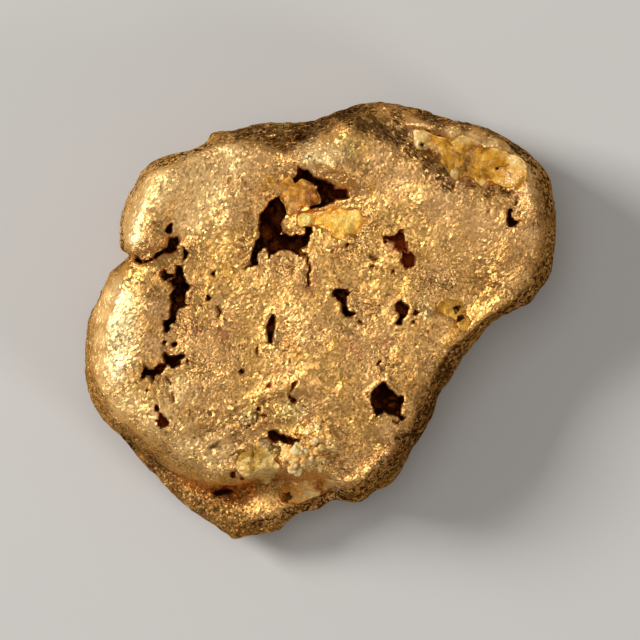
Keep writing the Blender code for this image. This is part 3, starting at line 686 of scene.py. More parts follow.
def outline_gap(x, y, outline):
    """Distance to the edge of a closed outline, negative inside it: a point is inside where a line from it
    towards +X crosses the outline an odd number of times."""
    inside = np.zeros(x.shape, bool)
    for (x0, y0), (x1, y1) in zip(outline, outline[1:] + outline[:1]):
        if y0 != y1:
            inside ^= ((y0 > y) != (y1 > y)) & (x < x0 + (y - y0) * (x1 - x0) / (y1 - y0))
    return distance_to_line(x, y, outline + outline[:1]) * np.where(inside, -1, 1)


NEARBY = 0.8  # a pit is measured this far round its outline
TEAR = 0.05  # how far each of two noises moves a pit's edge


def nearest_pit(x, y, pits):
    """Gap to the nearest pit, with that pit's depth and redness, after noise has moved the points."""
    tear = TEAR * nudges(level(x, y), 0.24, 31) + TEAR * nudges(level(x, y), 0.11, 33)
    torn_x, torn_y = x + tear[0], y + tear[1]
    best = np.full_like(x, NEARBY)
    depth, red = np.zeros_like(x), np.zeros_like(x)
    for pit_depth, pit_red, outline in pits:
        low, high = np.min(outline, axis=0)[:2] - NEARBY, np.max(outline, axis=0)[:2] + NEARBY
        near = (x > low[0]) & (x < high[0]) & (y > low[1]) & (y < high[1])
        gap = np.full_like(x, NEARBY)
        measure = outline_gap if len(outline) > 1 else stroke_gap
        gap[near] = measure(torn_x[near], torn_y[near], outline)
        nearer = gap < best
        best = np.where(nearer, gap, best)
        depth = np.where(nearer, pit_depth, depth)
        red = np.where(nearer, pit_red, red)
    return best, depth, red


face_pits = list(PITS.values()) + [(DOT_DEPTH, 0.0, [dot]) for dot in DOTS]
print("pits above:", len(face_pits), "below:", len(UNDER_PITS))

# %% [markdown]
# A grid of square cells would draw a pit's edge in steps. So before its depth is given, every point near an edge
# slides towards it, square to it, by a share that grows as it gets nearer. The cells' corners line up on the edge.

# %% Draw the grid onto the pits' edges
PULL = 0.11  # points nearer than this to an edge slide towards it
PROBE = 0.01


def drawn_to_edges(x, y, gap_at):
    """Slide points along the gap's slope: a gap g becomes g times |g| / PULL, so it shrinks fastest near 0."""
    gap = gap_at(x, y)
    slope_x = (gap_at(x + PROBE, y) - gap) / PROBE
    slope_y = (gap_at(x, y + PROBE) - gap) / PROBE
    steep = np.maximum(slope_x**2 + slope_y**2, 0.2)
    slide = gap * (1 - np.minimum(np.abs(gap) / PULL, 1))
    return x - slide * slope_x / steep, y - slide * slope_y / steep


face_x, face_y = drawn_to_edges(upper[..., 0], upper[..., 1], lambda x, y: nearest_pit(x, y, face_pits)[0])
moved = np.hypot(face_x - upper[..., 0], face_y - upper[..., 1])
print("points drawn to an edge:", int((moved > 0).sum()), "farthest in mm:", moved.max().round(3))

# %% [markdown]
# ### Relief
# Water has rolled and beaten this gold, so its skin has three sizes of unevenness: soft swells near 1 mm, dents
# near 0.5 mm, and short strokes a fifth of a millimetre long that all lean one way. They are pushed out along the
# skin's own normals, so that the sides get them too. Near the pits the gold is crumbly: there the absolute value
# of a noise, whose peaks are round and whose valleys are sharp, makes little nodules. Some slopes are rougher than
# the face, and by the long hollow and the lower groove the gold is drawn out in ridges.

# %% Places with a surface of their own
# Each patch is (x, y, reach): crumbly gold, folds worn smooth, polished places painted lighter as highlight, and the
# rough slopes.
CRUMBLY = [
    (-5.4, 2.9, 0.5), (-5.3, 1.0, 0.6), (-5.6, -0.3, 0.6), (-5.3, -2.0, 0.6), (-6.4, -2.8, 0.6), (-6.7, -4.8, 0.6),
    (-3.3, 3.2, 0.5), (-0.6, 7.0, 0.7), (0.4, 6.5, 0.6), (2.1, 4.2, 0.6), (1.4, 3.1, 0.7), (-1.5, 2.3, 0.6),
    (4.4, 1.6, 0.7), (2.1, 0.6, 0.7), (-0.7, -5.5, 0.9), (0.4, -5.6, 0.8), (-0.4, -4.2, 0.5), (-1.4, -1.0, 0.5),
    (3.2, 6.9, 0.2), (-7.5, 3.2, 0.4), (-6.2, 3.8, 0.25), (3.0, -1.9, 0.6), (5.5, 1.6, 0.5), (-5.0, -4.9, 0.5),
    (-3.6, -4.9, 0.5), (-2.2, -4.3, 0.4), (1.0, -6.2, 0.5), (2.4, -5.9, 0.5), (3.6, -4.9, 0.4), (-8.0, -4.2, 0.5),
    (-3.9, -6.1, 0.5), (-7.5, -5.0, 0.5), (-6.6, -5.6, 0.5), (-5.7, -6.2, 0.5), (-4.8, -6.7, 0.5), (-8.7, -3.3, 0.4),
    (-8.0, 2.6, 0.4),
]
WORN_SMOOTH = [
    (4.0, 8.5, 0.3), (4.6, 8.3, 0.3), (5.2, 8.05, 0.3), (6.7, 7.8, 0.3), (7.3, 7.5, 0.3), (7.9, 7.25, 0.3),
    (8.5, 6.85, 0.3), (8.9, 6.4, 0.3), (9.05, 5.8, 0.25), (5.2, 5.0, 1.2), (6.8, 4.2, 1.0), (3.4, 6.0, 0.7),
    (8.7, 5.6, 0.6), (9.1, 3.6, 0.7), (6.6, 8.0, 0.5), (-6.9, 0.6, 0.5), (-7.0, -1.0, 0.5), (2.8, -4.6, 0.4),
    (-2.6, 6.9, 0.5), (2.5, 6.9, 0.5),
]
POLISH_AND_HIGHLIGHT = [
    (-8.7, 1.6, 0.4), (-8.5, 0.9, 0.55), (-8.5, 0.0, 0.65), (-8.5, -0.8, 0.65), (-8.5, -1.6, 0.55), (-0.3, 7.0, 0.35),
    (0.3, 6.8, 0.3), (-8.6, -2.3, 0.4), (-7.7, 4.9, 0.35), (-7.9, 4.2, 0.4), (-7.9, 3.5, 0.35), (-7.4, 5.5, 0.3),
]
ROUGH = [
    (6.8, 1.6, 1.0), (8.5, 2.8, 1.0), (5.2, -0.8, 1.0), (4.2, -2.8, 1.0), (3.6, -5.0, 0.9), (9.2, 4.6, 0.6),
    (-8.5, -0.5, 0.6), (-8.6, -2.1, 0.6), (-8.6, 1.0, 0.5), (-7.9, 4.3, 0.5), (-8.9, 0.5, 0.5), (-9.2, -1.5, 0.5),
    (-8.8, -3.4, 0.6), (2.4, 1.8, 1.0), (0.2, -2.4, 1.2), (-4.6, -3.4, 0.9),
]
# Soft lumps by the back crease that catch the light.
LUMPY = [(-0.6, 6.9, 0.45), (0.0, 6.8, 0.45), (0.5, 6.6, 0.35)]
# Where the gold is drawn out in long streaks: how dark their dirt and painted shade is, their lean from +X in
# degrees, the patches.
STREAKED = [
    (1.0, -38, [
        (1.2, 8.8, 0.5), (2.0, 8.5, 0.6), (2.7, 8.1, 0.5), (3.4, 7.75, 0.4), (4.0, 7.25, 0.35), (4.6, 6.7, 0.35),
        (5.15, 6.15, 0.3), (5.5, 5.75, 0.2), (3.3, 8.7, 0.3), (4.6, 8.65, 0.2),
    ]),
    (1.0, 4, [(-3.4, 8.1, 0.4), (-2.8, 8.0, 0.5), (-2.0, 7.8, 0.45), (-1.3, 7.55, 0.35), (-1.1, 7.9, 0.4)]),
    (0.9, 27, [(-0.5, 8.0, 0.45), (0.2, 8.4, 0.45), (0.9, 8.75, 0.4)]),
    (0.9, -20, [
        (5.0, 8.45, 0.25), (6.2, 8.25, 0.25), (7.3, 7.9, 0.25), (8.3, 7.35, 0.25), (6.4, 5.75, 0.2), (7.2, 5.5, 0.2),
        (7.9, 5.5, 0.2),
    ]),
    (0.35, -46, [(-8.0, -5.2, 0.5), (-6.9, -6.1, 0.6), (-5.8, -7.1, 0.7), (-4.7, -8.0, 0.8), (-3.4, -8.6, 0.7)]),
    (0.2, 30, [
        (-6.4, -4.9, 0.6), (-5.4, -5.3, 0.6), (-4.4, -5.4, 0.6), (-4.6, -4.4, 0.6), (-3.4, -4.2, 0.5),
        (-3.6, -5.6, 0.5), (-2.2, -3.6, 0.5),
    ]),
    (0.5, 62, [
        (9.4, 4.4, 0.4), (9.2, 5.4, 0.4), (4.6, -4.0, 0.5), (4.0, -5.0, 0.5), (5.4, -2.4, 0.5), (3.2, -6.2, 0.4),
    ]),
]


def lined(x, y, lines):
    """0 to 1: the highest of soft bands, each a bell curve of the distance to its line."""
    return np.max([bell(distance_to_line(x, y, line) / reach) for reach, line in lines], axis=0)


def patches(x, y, spots):
    """0 to 1: the highest of round patches, each a bell curve of the distance to its middle."""
    return lined(x, y, [(reach, [place]) for *place, reach in spots])


UPPER_LEFT_TURN = 82.0  # the strokes' lean from +X, in degrees
LOWER_RIGHT_TURN = 42.0
# How far each kind of relief stands out.
SWELLS, DENTS, STROKES, NODULES, RIDGES, LUMPS, ROUGHNESS = 0.05, 0.03, 0.008, 0.15, 0.05, 0.35, 0.055


def relief(points, crumbly, smooth):
    """How far the skin is pushed out: swells, dents, leaning strokes, and in their own places rough ground,
    ridges, lumps and, where it crumbles, nodules."""
    x, y = points[..., 0], points[..., 1]
    upper_left = smooth_step((y - x) / 6 + 0.1)
    strokes = (upper_left * lattice_noise(points, 0.17, 43, (2.2, 1, 1), UPPER_LEFT_TURN)
               + (1 - upper_left) * lattice_noise(points, 0.17, 44, (2.4, 1, 1), LOWER_RIGHT_TURN))
    nodules = np.abs(lattice_noise(points, 0.42, 45)) - 0.3
    fine = 1 - 0.65 * smooth
    return (SWELLS * lattice_noise(points, 1.3, 41)
            + DENTS * fine * lattice_noise(points, 0.55, 42)
            + ROUGHNESS * patches(x, y, ROUGH) * lattice_noise(points, 0.28, 47, (1.6, 1, 1), LOWER_RIGHT_TURN)
            + STROKES * fine * strokes
            + RIDGES * streaks(points)
            + LUMPS * patches(x, y, LUMPY) * np.maximum(lattice_noise(points, 0.34, 48), 0)
            + NODULES * crumbly * nodules)


def streaks(points):
    """Long ridges and grooves between -1 and 1, each patch of them with its own lean."""
    return sum((0.2 + 0.8 * darkness) * patches(points[..., 0], points[..., 1], spots)
               * lattice_noise(points, 0.19, 46, (5, 1, 1), turn)
               for darkness, turn, spots in STREAKED)


# Where the rough side begins, painted darker as shade, as a share of the way to the rim, at angles in degrees.
SIDE_START = {0: 0.73, 40: 0.8, 65: 0.82, 90: 0.76, 130: 0.76, 155: 0.8, 185: 0.82, 215: 0.78, 250: 0.74,
              320: 0.72}
SIDE_BLEND = 0.13
LEDGE_TOP = [(-7.6, -5.9, 0.5), (-6.6, -6.8, 0.6), (-5.6, -7.6, 0.6), (-4.6, -8.2, 0.7), (-3.6, -8.5, 0.6)]

x, y = upper[..., 0], upper[..., 1]
starts = np.interp(np.degrees(face_angle), list(SIDE_START), list(SIDE_START.values()), period=360)
side = smooth_step((face_share - starts) / SIDE_BLEND)  # 1 on the sides, past the worn shoulders
step_edge = bell(distance_to_line(x, y, LEDGE_LINE) / LEDGE_STEP)
ledge_top = patches(x, y, LEDGE_TOP)
crumbly = np.maximum.reduce([patches(x, y, CRUMBLY), 0.5 * side, 0.6 * step_edge]) * (1 - 0.7 * ledge_top)
smooth = patches(x, y, WORN_SMOOTH) * (1 - crumbly)
print("crumbly share:", crumbly.mean().round(3), "smooth share:", smooth.mean().round(3))

# %% Pockets of the quartz
# How deep each crust's pocket lies under the gold round it, its middle and its outline.
CRUSTS = {
    "upper_crust": (0.6, (6.35, 6.85), [
        (3.89, 7.78), (4.0, 8.06), (4.35, 8.12), (4.75, 7.9), (5.12, 7.76), (5.49, 7.72), (5.83, 7.78), (6.05, 7.8),
        (6.28, 7.7), (6.55, 7.5), (6.84, 7.35), (7.34, 7.3), (7.7, 7.22), (8.14, 7.05), (8.57, 6.74), (8.66, 6.31),
        (8.57, 5.85), (8.26, 5.64), (7.83, 5.66), (7.4, 5.86), (7.09, 5.81), (6.78, 5.75), (6.5, 5.95), (6.23, 6.1),
        (5.92, 5.97), (5.67, 5.94), (5.49, 6.18), (5.24, 6.61), (4.87, 6.86), (4.57, 7.11), (4.2, 7.23), (3.95, 7.48),
    ]),
    "tan_crust": (0.5, (-0.95, 5.35), [
        (-1.75, 5.6), (-1.55, 5.9), (-1.3, 6.1), (-1.16, 6.0), (-1.03, 5.75), (-0.8, 5.92), (-0.6, 5.85),
        (-0.4, 5.75), (-0.12, 5.33), (-0.07, 5.03), (-0.42, 4.95), (-0.77, 4.7), (-1.03, 4.5), (-1.3, 4.45),
        (-1.4, 4.94), (-1.6, 5.2),
    ]),
    "amber_crust": (0.45, (0.8, 4.2), [
        (-0.95, 4.35), (-0.8, 4.66), (-0.3, 4.68), (0.36, 4.72), (0.7, 4.85), (1.1, 4.72), (1.6, 4.68), (1.75, 4.45),
        (1.95, 4.3), (1.7, 3.95), (1.75, 3.7), (1.3, 3.66), (0.95, 3.5), (0.6, 3.62), (0.36, 3.78), (0.0, 3.9),
        (-0.25, 4.05), (-0.8, 4.0),
    ]),
    "right_crust": (0.35, (5.65, 0.38), [
        (4.85, 0.75), (5.1, 0.92), (5.5, 0.88), (5.9, 0.76), (6.12, 0.5), (6.2, 0.2), (6.38, -0.1), (6.3, -0.4),
        (5.95, -0.35), (5.75, -0.05), (5.45, 0.18), (5.1, 0.35), (4.88, 0.5),
    ]),
    "lower_crust": (0.6, (-2.6, -5.95), [
        (-3.5, -6.0), (-3.3, -5.64), (-3.0, -5.5), (-2.97, -5.21), (-2.65, -5.05), (-2.23, -5.0), (-2.1, -5.3),
        (-1.85, -5.35), (-1.7, -5.65), (-2.0, -5.85), (-1.75, -6.1), (-1.8, -6.3), (-1.95, -6.45), (-2.0, -6.7),
        (-2.3, -6.91), (-2.5, -6.84), (-2.6, -6.6), (-3.0, -6.65), (-3.3, -6.5), (-3.45, -6.33),
    ]),
    "foot_crust": (0.5, (-0.6, -7.15), [
        (-1.75, -7.3), (-1.5, -6.95), (-0.9, -6.85), (-0.36, -6.74), (0.25, -6.72), (0.65, -6.95), (0.4, -7.3),
        (-0.1, -7.5), (-0.5, -7.68), (-1.1, -7.75), (-1.6, -7.65),
    ]),
}


POCKET_WALL = 0.14


def crust_gap(x, y, centre, outline):
    """Distance outwards, along the radius, from a crust's outline, after noise has moved the points."""
    tear = 2 * TEAR * nudges(level(x, y), 0.3, 35)
    out_x, out_y = x - centre[0] + tear[0], y - centre[1] + tear[1]
    return np.hypot(out_x, out_y) - ring_radius(np.arctan2(out_y, out_x), outline, centre)


def pocket_depth(x, y):
    """How far the gold drops away under the crusts, with a steep wall just inside each outline."""
    total = np.zeros_like(x)
    for depth, centre, outline in CRUSTS.values():
        total = np.maximum(total, depth * smooth_step(-crust_gap(x, y, centre, outline) / POCKET_WALL))
    return total


print("crusts:", list(CRUSTS))

# %% Gold mesh
LIP = 0.05  # how far the gold stands up along a pit's edge
LIP_REACH = 0.1
CRACK_TEAR = 0.04

gold_mesh, gold_points = closed_skin("gold_skin", upper, lower)
normals = np.empty(len(gold_points) * 3, np.float32)
gold_mesh.vertices.foreach_get("normal", normals)
normals = normals.reshape(-1, 3)
face_count = upper.shape[0] ** 2
under_x, under_y = lower[..., 0], lower[..., 1]


def whole(face_values, under_values=0.0):
    """One value for each point of the skin, from those of the upper and the lower grid."""
    under = np.broadcast_to(under_values, lower.shape[:2])
    return np.concatenate([face_values.ravel(), under.ravel()])


face_gap, face_depth, face_red = nearest_pit(face_x, face_y, face_pits)
under_gap, under_depth, under_red = nearest_pit(under_x, under_y, list(UNDER_PITS.values()))
crack_x, crack_y = np.stack([face_x, face_y]) + CRACK_TEAR * nudges(upper, 0.2, 51)
crack_gap = np.min([distance_to_line(crack_x, crack_y, line) for line in CRACKS], axis=0) - CRACK_HALF
inside = smooth_step(-face_gap / WALL + 0.15)
under_inside = smooth_step(-under_gap / 0.2)
lip = LIP * bell((face_gap - LIP_REACH) / LIP_REACH) * (1 - inside) * np.clip(face_depth, 0, 1)
rugged = 1 + 0.3 * lattice_noise(upper, 0.3, 53)
drop = face_depth * rugged * inside + pocket_depth(face_x, face_y) * (1 - inside)
drop += CRACK_DEPTH * smooth_step(-crack_gap / 0.1 + 0.5)
pushed = relief(gold_points, whole(crumbly), whole(smooth, 0.2))
skin = gold_points + normals * pushed[:, None]
skin[:face_count, 0] += (face_x - upper[..., 0]).ravel()
skin[:face_count, 1] += (face_y - upper[..., 1]).ravel()
skin[:, 2] += whole(lip - drop, under_depth * under_inside)
skin[:, 2] = np.maximum(skin[:, 2], 0)
skin[:, :2] += shift
move_points(gold_mesh, skin, 55)
gold_mesh.update()
print("gold points:", len(skin), "farthest pushed out in mm:", pushed.max().round(3))

# %% [markdown]
# ### Stains, dirt, painted shade and painted light
# Iron from the ground has left red, orange and brown films round the quartz, and dirt in the creases. The creases,
# recesses and slopes turned from the key light also hold painted shade, and the lit places painted light. A painted
# picture could hold them, but values on the mesh's points follow the forms exactly and need no picture.

# %% Values on the points
# Round patches of each stain as (x, y, reach). Cream is pale dust, and painted highlight near the back crease.
# The pale patches are painted light on the lit upper left, the left rim and some slopes. The film is thin and brown,
# with painted shade on the slopes turned from the key light.
STAINS = {
    "red_stain": [
        (-3.55, 7.0, 0.35), (-3.2, 7.15, 0.2), (-0.55, 1.55, 0.32), (-0.2, 1.7, 0.25), (1.5, -1.25, 0.35),
        (1.75, -1.1, 0.2), (-4.0, -0.4, 0.45), (-3.5, -0.3, 0.25), (-5.2, -0.3, 0.25), (3.3, 3.1, 0.3),
        (0.7, 2.9, 0.25), (3.0, -5.7, 0.3), (2.9, -1.0, 0.2), (-0.9, 7.0, 0.2), (-3.9, 5.9, 0.2),
    ],
    "orange_stain": [
        (-3.89, 2.16, 0.28), (-4.9, 1.7, 0.35), (1.0, -2.6, 0.3), (-1.2, -0.91, 0.15), (0.53, -1.08, 0.25),
        (-1.12, -1.43, 0.25), (-4.28, 4.72, 0.2), (-4.8, -2.26, 0.18), (2.14, 5.46, 0.15), (4.62, 2.73, 0.18),
        (-6.27, 6.76, 0.3), (1.9, 3.7, 0.4), (2.0, 4.5, 0.3), (-2.1, 5.8, 0.3), (-6.3, 3.2, 0.2), (-2.3, -7.0, 0.35),
        (0.6, -7.3, 0.4), (-3.4, -9.0, 0.5), (-8.2, -3.9, 0.3), (-4.4, -7.1, 0.3), (5.6, -0.6, 0.4),
    ],
    "green_stain": [(-2.95, -4.1, 0.4), (-1.25, -3.75, 0.55), (-1.7, 8.1, 0.4), (4.3, -5.0, 0.3), (1.2, 7.4, 0.4)],
    # pale dust crumbs; the patches near the back crease are painted highlight
    "cream": [
        (-1.0, -6.15, 0.35), (-1.15, -5.8, 0.35), (-0.2, -5.15, 0.3), (-0.4, -4.6, 0.3), (0.0, -5.85, 0.3),
        (-0.5, -5.5, 0.35), (0.5, -5.4, 0.25), (-0.5, -6.1, 0.3), (-1.7, -5.45, 0.25), (-1.6, -6.0, 0.2),
        (-0.75, -4.0, 0.3), (-3.1, -4.15, 0.25), (1.9, 3.9, 0.2), (2.0, 4.4, 0.2), (1.75, 3.5, 0.2),
        (4.55, 0.55, 0.2), (4.4, 0.3, 0.15), (-1.85, -0.7, 0.2), (-0.6, 6.9, 0.2), (-0.1, 6.75, 0.2),
        (0.85, -7.05, 0.3), (0.35, -6.95, 0.2),
    ],
    # painted light: lighter patches on the lit upper left, the left rim and some slopes
    "pale": [
        (-6.6, 5.6, 1.0), (-5.2, 6.2, 1.0), (-3.8, 6.8, 0.8), (-5.6, 4.6, 0.9), (-4.8, 5.4, 1.0), (-0.3, 7.1, 0.7),
        (0.6, 6.9, 0.6), (5.6, 7.95, 0.25), (6.5, 7.75, 0.3), (7.3, 7.45, 0.3), (8.0, 7.15, 0.3), (8.6, 6.8, 0.3),
        (8.95, 6.2, 0.3), (9.0, 5.5, 0.3), (-9.1, 1.2, 0.4), (-9.25, 0.3, 0.45), (-9.3, -0.7, 0.45),
        (-9.2, -1.7, 0.45), (-9.0, -2.6, 0.45), (-8.6, -3.4, 0.45), (-8.35, 4.6, 0.35), (-8.4, 3.8, 0.35),
        (-7.9, 5.3, 0.35), (-8.2, -3.6, 0.7), (-6.9, -4.2, 0.8), (-5.6, -5.2, 0.8), (-4.4, -5.5, 0.8),
        (-6.0, -2.9, 0.6),
    ],
    "film": [
        # a brown film with painted shade on slopes turned from the key light
        (-7.0, 1.0, 0.5), (-6.9, 0.2, 0.5), (-6.9, -0.8, 0.45), (-7.1, -2.3, 0.35), (-6.9, 4.0, 0.35),
        (8.3, 2.6, 0.9), (7.0, 1.6, 0.8), (9.0, 4.2, 0.6), (4.0, -3.0, 0.8), (3.6, -5.0, 0.6),
    ],
}
# Soft lines of dirt and painted shade in the creases, each with its reach.
DIRT_AND_SHADE_LINES = [
    (0.2, [(-2.95, 4.4), (-3.0, 3.4), (-3.0, 2.4)]),
    (0.5, FORMS["back_crease"][2]),
    (0.22, [(3.4, 7.9), (4.0, 7.3), (4.6, 6.75), (5.1, 6.25), (5.5, 5.75)]),
    (0.14, [(5.9, 5.85), (6.4, 5.9), (6.8, 5.6), (7.6, 5.5), (8.2, 5.42)]),
    (0.25, [(4.5, 8.68), (5.17, 8.22), (5.42, 8.14)]),
    (0.12, [(9.3, 6.15), (9.43, 5.5), (9.6, 4.67)]),
    (0.2, [(-7.7, 2.7), (-6.3, 3.2)]),
    (0.3, FORMS["lower_groove"][2]),
    (0.35, [(-8.4, -4.8), (-7.2, -5.1), (-6.2, -5.8), (-5.0, -6.5), (-3.8, -6.7)]),
    (0.3, [(-3.4, -7.1), (-2.3, -6.9), (-1.9, -7.2)]),
    (0.45, [(1.0, 8.9), (2.2, 8.4), (3.4, 7.8)]),
    (0.3, [(-1.4, -6.3), (-1.6, -6.7), (-2.1, -7.0)]),
    (0.3, [(-1.9, -6.6), (-1.2, -6.5), (-0.4, -6.5)]),
    (0.3, [(3.7, -5.6), (4.5, -4.4), (5.2, -3.0)]),
]
SHADED_SIDE = -40  # the side turned from the key light, where the sides are painted darkest as shade, in degrees from +X
STAIN_WANDER = 0.16


def store(mesh, name, values):
    """Keep one value for each of the mesh's points, for the material to read."""
    mesh.attributes.new(name, "FLOAT", "POINT").data.foreach_set("value", values.astype(np.float32).ravel())


stain_x, stain_y = np.stack([face_x, face_y]) + STAIN_WANDER * nudges(upper, 0.35, 61)
away = 0.5 + 0.5 * np.cos(face_angle - math.radians(SHADED_SIDE))
for name, spots in [*STAINS.items(), *((f"streaked {turn}", spots) for _, turn, spots in STREAKED)]:
    store(gold_mesh, name, whole(patches(stain_x, stain_y, spots)))
for name, values in {
    "pit": whole(smooth_step(-face_gap / 0.05 + 0.6), under_inside),
    "crack": whole(smooth_step(-crack_gap / 0.06 + 0.7)),
    "maroon": whole(face_red, under_red),
    # dirt and painted shade along the creases
    "dirt": whole(lined(stain_x, stain_y, DIRT_AND_SHADE_LINES), 0.25),
    "pocket": whole(np.clip(pocket_depth(face_x, face_y) / 0.4, 0, 1)),
    "smooth": whole(smooth, 0.2),
    "side": whole(side * (1 - 0.6 * ledge_top), 1.0),
    # painted shade: the sides darken, most on the side turned from the key light
    "side_film": whole(side * (0.25 + 0.75 * away), 0.5),
    # polished places, painted lighter as highlight
    "polished": whole(patches(face_x, face_y, POLISH_AND_HIGHLIGHT)),
    "crumbly": whole(crumbly),
    # dirt and painted shade in the grooves between the streaks
    "groove": np.clip(-4 * streaks(gold_points), 0, 1),
    "hollow": np.clip(0.5 - pushed / 0.12, 0, 1),
}.items():
    store(gold_mesh, name, values)
print("stored:", [item.name for item in gold_mesh.attributes if item.domain == "POINT"])

# %% [markdown]
# ### Native gold
# Gold with some silver in it, worn to a satin. One colour and one roughness would look like foil. Here the colour
# drifts between warm and pale, dirt and painted shade sit in the low places, painted light and painted highlight
# lie on the lit shoulders and slopes, the fine strokes are carried on by a bump, and the worn folds are duller than
# the beaten face.

# %% Native gold
gold, gold_shader, wire = new_finish("native_gold")
swell, mottle, grain = (wire.noise(size, detail=3.0) for size in (2.6, 0.5, 0.1))
pit, pocket, crack, hollow, crumbled, worn, sides, side_film, polished, pale = (wire.attribute(name) for name in (
    "pit", "pocket", "crack", "hollow", "crumbly", "smooth", "side", "side_film", "polished", "pale"))
valleys = wire.crumbs(0.17)
# Dark lines in the streaked patches: dirt and painted shade.
streaked, streak_dirt_and_shade = 0.0, 0.0
for darkness, turn, _ in STREAKED:
    here = wire.attribute(f"streaked {turn}").between(0.0, 0.6)
    lines = wire.noise(0.075, (3.2, 1, 1), turn, detail=2.0)
    streaked = here + streaked
    streak_dirt_and_shade = darkness * here * lines.between(0.45, 0.54) + streak_dirt_and_shade

# Cream dust, with painted highlight near the back crease.
cream = wire.attribute("cream") * mottle.between(0.3, 0.5)
# A brown film and painted shade on the sides and on the slopes turned from the key light.
film = side_film.highest(wire.attribute("film") * 0.75)
warm_or_cool = wire.mixed(swell.between(0.35, 0.65), (0.9, 0.48, 0.125), (0.84, 0.45, 0.15))
plug(gold_shader, "Base Color", wire.layered(warm_or_cool, [
    (mottle.between(0.45, 0.7) * 0.55, (0.66, 0.33, 0.08)),
    (grain.between(0.54, 0.68) * 0.6, (1.0, 0.66, 0.28)),
    (wire.attribute("green_stain") * 0.6, (0.46, 0.38, 0.12)),
    (wire.attribute("orange_stain") * mottle.between(0.3, 0.6) * 0.7, (0.8, 0.36, 0.04)),
    (wire.attribute("red_stain") * mottle.between(0.3, 0.55) * 0.75, (0.5, 0.14, 0.08)),
    # painted light
    (pale * 0.85, (1.0, 0.64, 0.26)),
    # brown film and painted shade
    (film * mottle.between(0.25, 0.55), (0.4, 0.18, 0.045)),
    # cream dust, and painted highlight near the back crease
    (cream * 0.85, (1.0, 0.7, 0.3)),
    # painted highlight on the polished places
    (polished * (1.0 - sides), (1.0, 0.74, 0.36)),
    (worn * 0.5, (0.9, 0.53, 0.24)),
]))
gold_shader.inputs["Metallic"].default_value = 1.0
gold_shader.inputs["Specular Tint"].default_value = (1.0, 0.7, 0.35, 1)
plug(gold_shader, "Roughness", 0.42 + 0.07 * worn + 0.2 * (mottle - 0.5) + 0.06 * polished - 0.06 * cream)

strokes = wire.noise(0.07, (2.0, 1, 1), LOWER_RIGHT_TURN, detail=2.0)
pebbles = wire.noise(0.16, detail=3.0)
ruggedness = 0.45 + 0.6 * swell.between(0.4, 0.6) + 0.5 * crumbled + 0.5 * sides
height = (0.8 * strokes + pebbles) * ruggedness * (1.0 - 0.3 * worn) * (1.0 - 0.4 * polished)
height = height - valleys * (0.4 + 1.2 * crumbled + 1.2 * sides) - 1.5 * streak_dirt_and_shade
sparkle = 0.18 + 0.3 * wire.noise(0.4, detail=3.0).between(0.5, 0.68) * (1.0 - 0.5 * worn)
sparkle = sparkle + 0.4 * sides + 0.35 * streaked + 0.7 * cream + 0.2 * pale
bump = wire.bumped(height, 0.032, wire.facets(0.085, sparkle, (1.4, 1, 1), 60))
plug(gold_shader, "Normal", bump)

# Dirt, pit walls and cracks are not metal: a dull earth lies over the gold there. The same matte layer carries
# painted shade in the creases, grooves and recesses, painted light on the pale places and pale dust on the cream
# crumbs.
speck = 1.0 - grain.between(0.44, 0.54)
# Dirt and painted shade along the creases, strongest in the low places.
dirt = wire.attribute("dirt") * (0.4 + 0.6 * hollow) * (0.3 + 0.7 * speck)
# dirt and painted shade in the streaks' grooves
groove = wire.attribute("groove") * mottle.between(0.25, 0.5)
# Painted shade and dirt in the low places and the valleys between crumbs, most on the sides.
lowest = (1.0 - grain.between(0.34, 0.44)) * (0.25 + 0.5 * hollow)
between_crumbs = valleys.between(0.42, 0.6) * (sides * (0.4 + 0.6 * swell.between(0.4, 0.55)) + 0.6 * crumbled)
recess_dirt_and_shade = (lowest + between_crumbs) * (1.0 - 0.85 * polished)
pale_crumbs = cream * pebbles.between(0.44, 0.54)
soiled_and_shaded = dirt.highest(groove, streak_dirt_and_shade, recess_dirt_and_shade, pocket, crack, pit)
inner = wire.mixed(mottle.between(0.45, 0.65), (0.06, 0.012, 0.0006), (0.5, 0.13, 0.01))
matte_layer = wire.add("BsdfPrincipled", inputs={
    "Base Color": wire.layered(wire.mixed(pocket, (0.075, 0.03, 0.007), (0.3, 0.13, 0.025)), [
        # painted light on the pale places, and pale dust on the cream crumbs
        ((pale * 2.0).highest(pale_crumbs * 2.0) * (1.0 - soiled_and_shaded), (1.0, 0.62, 0.24)),
        (crack, (0.03, 0.01, 0.003)),
        (pit, wire.mixed(wire.attribute("maroon"), inner, (0.4, 0.08, 0.02))),
    ]),
    "Roughness": 0.7,
    "Specular IOR Level": 0.0,
    "Normal": bump,
}, output="BSDF")
cover = pit.highest(dirt * 0.95, groove * 0.85, streak_dirt_and_shade * 0.95, recess_dirt_and_shade * 0.9, pocket * 0.8, crack * 0.9,
                    pale_crumbs * 0.45, pale * 0.45)
both = wire.add("MixShader", inputs={0: cover, 1: Wire(gold.node_tree, gold_shader.outputs["BSDF"]), 2: matte_layer},
                output="Shader")
plug(gold.node_tree.nodes["Material Output"], "Surface", both)


def put_in_place(name, mesh, finish, node):
    """Make a mesh a piece that stands for one node. All pieces ride on the root, because nothing moves."""
    mesh.materials.append(finish)
    piece = bpy.data.objects.new(name, mesh)
    bpy.context.scene.collection.objects.link(piece)
    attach(piece, "root")
    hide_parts(node)
    print(name, "triangles:", sum(len(face.vertices) - 2 for face in mesh.polygons))


put_in_place("gold_skin", gold_mesh, gold, "gold_body")
print("gold nodes:", len(gold.node_tree.nodes))
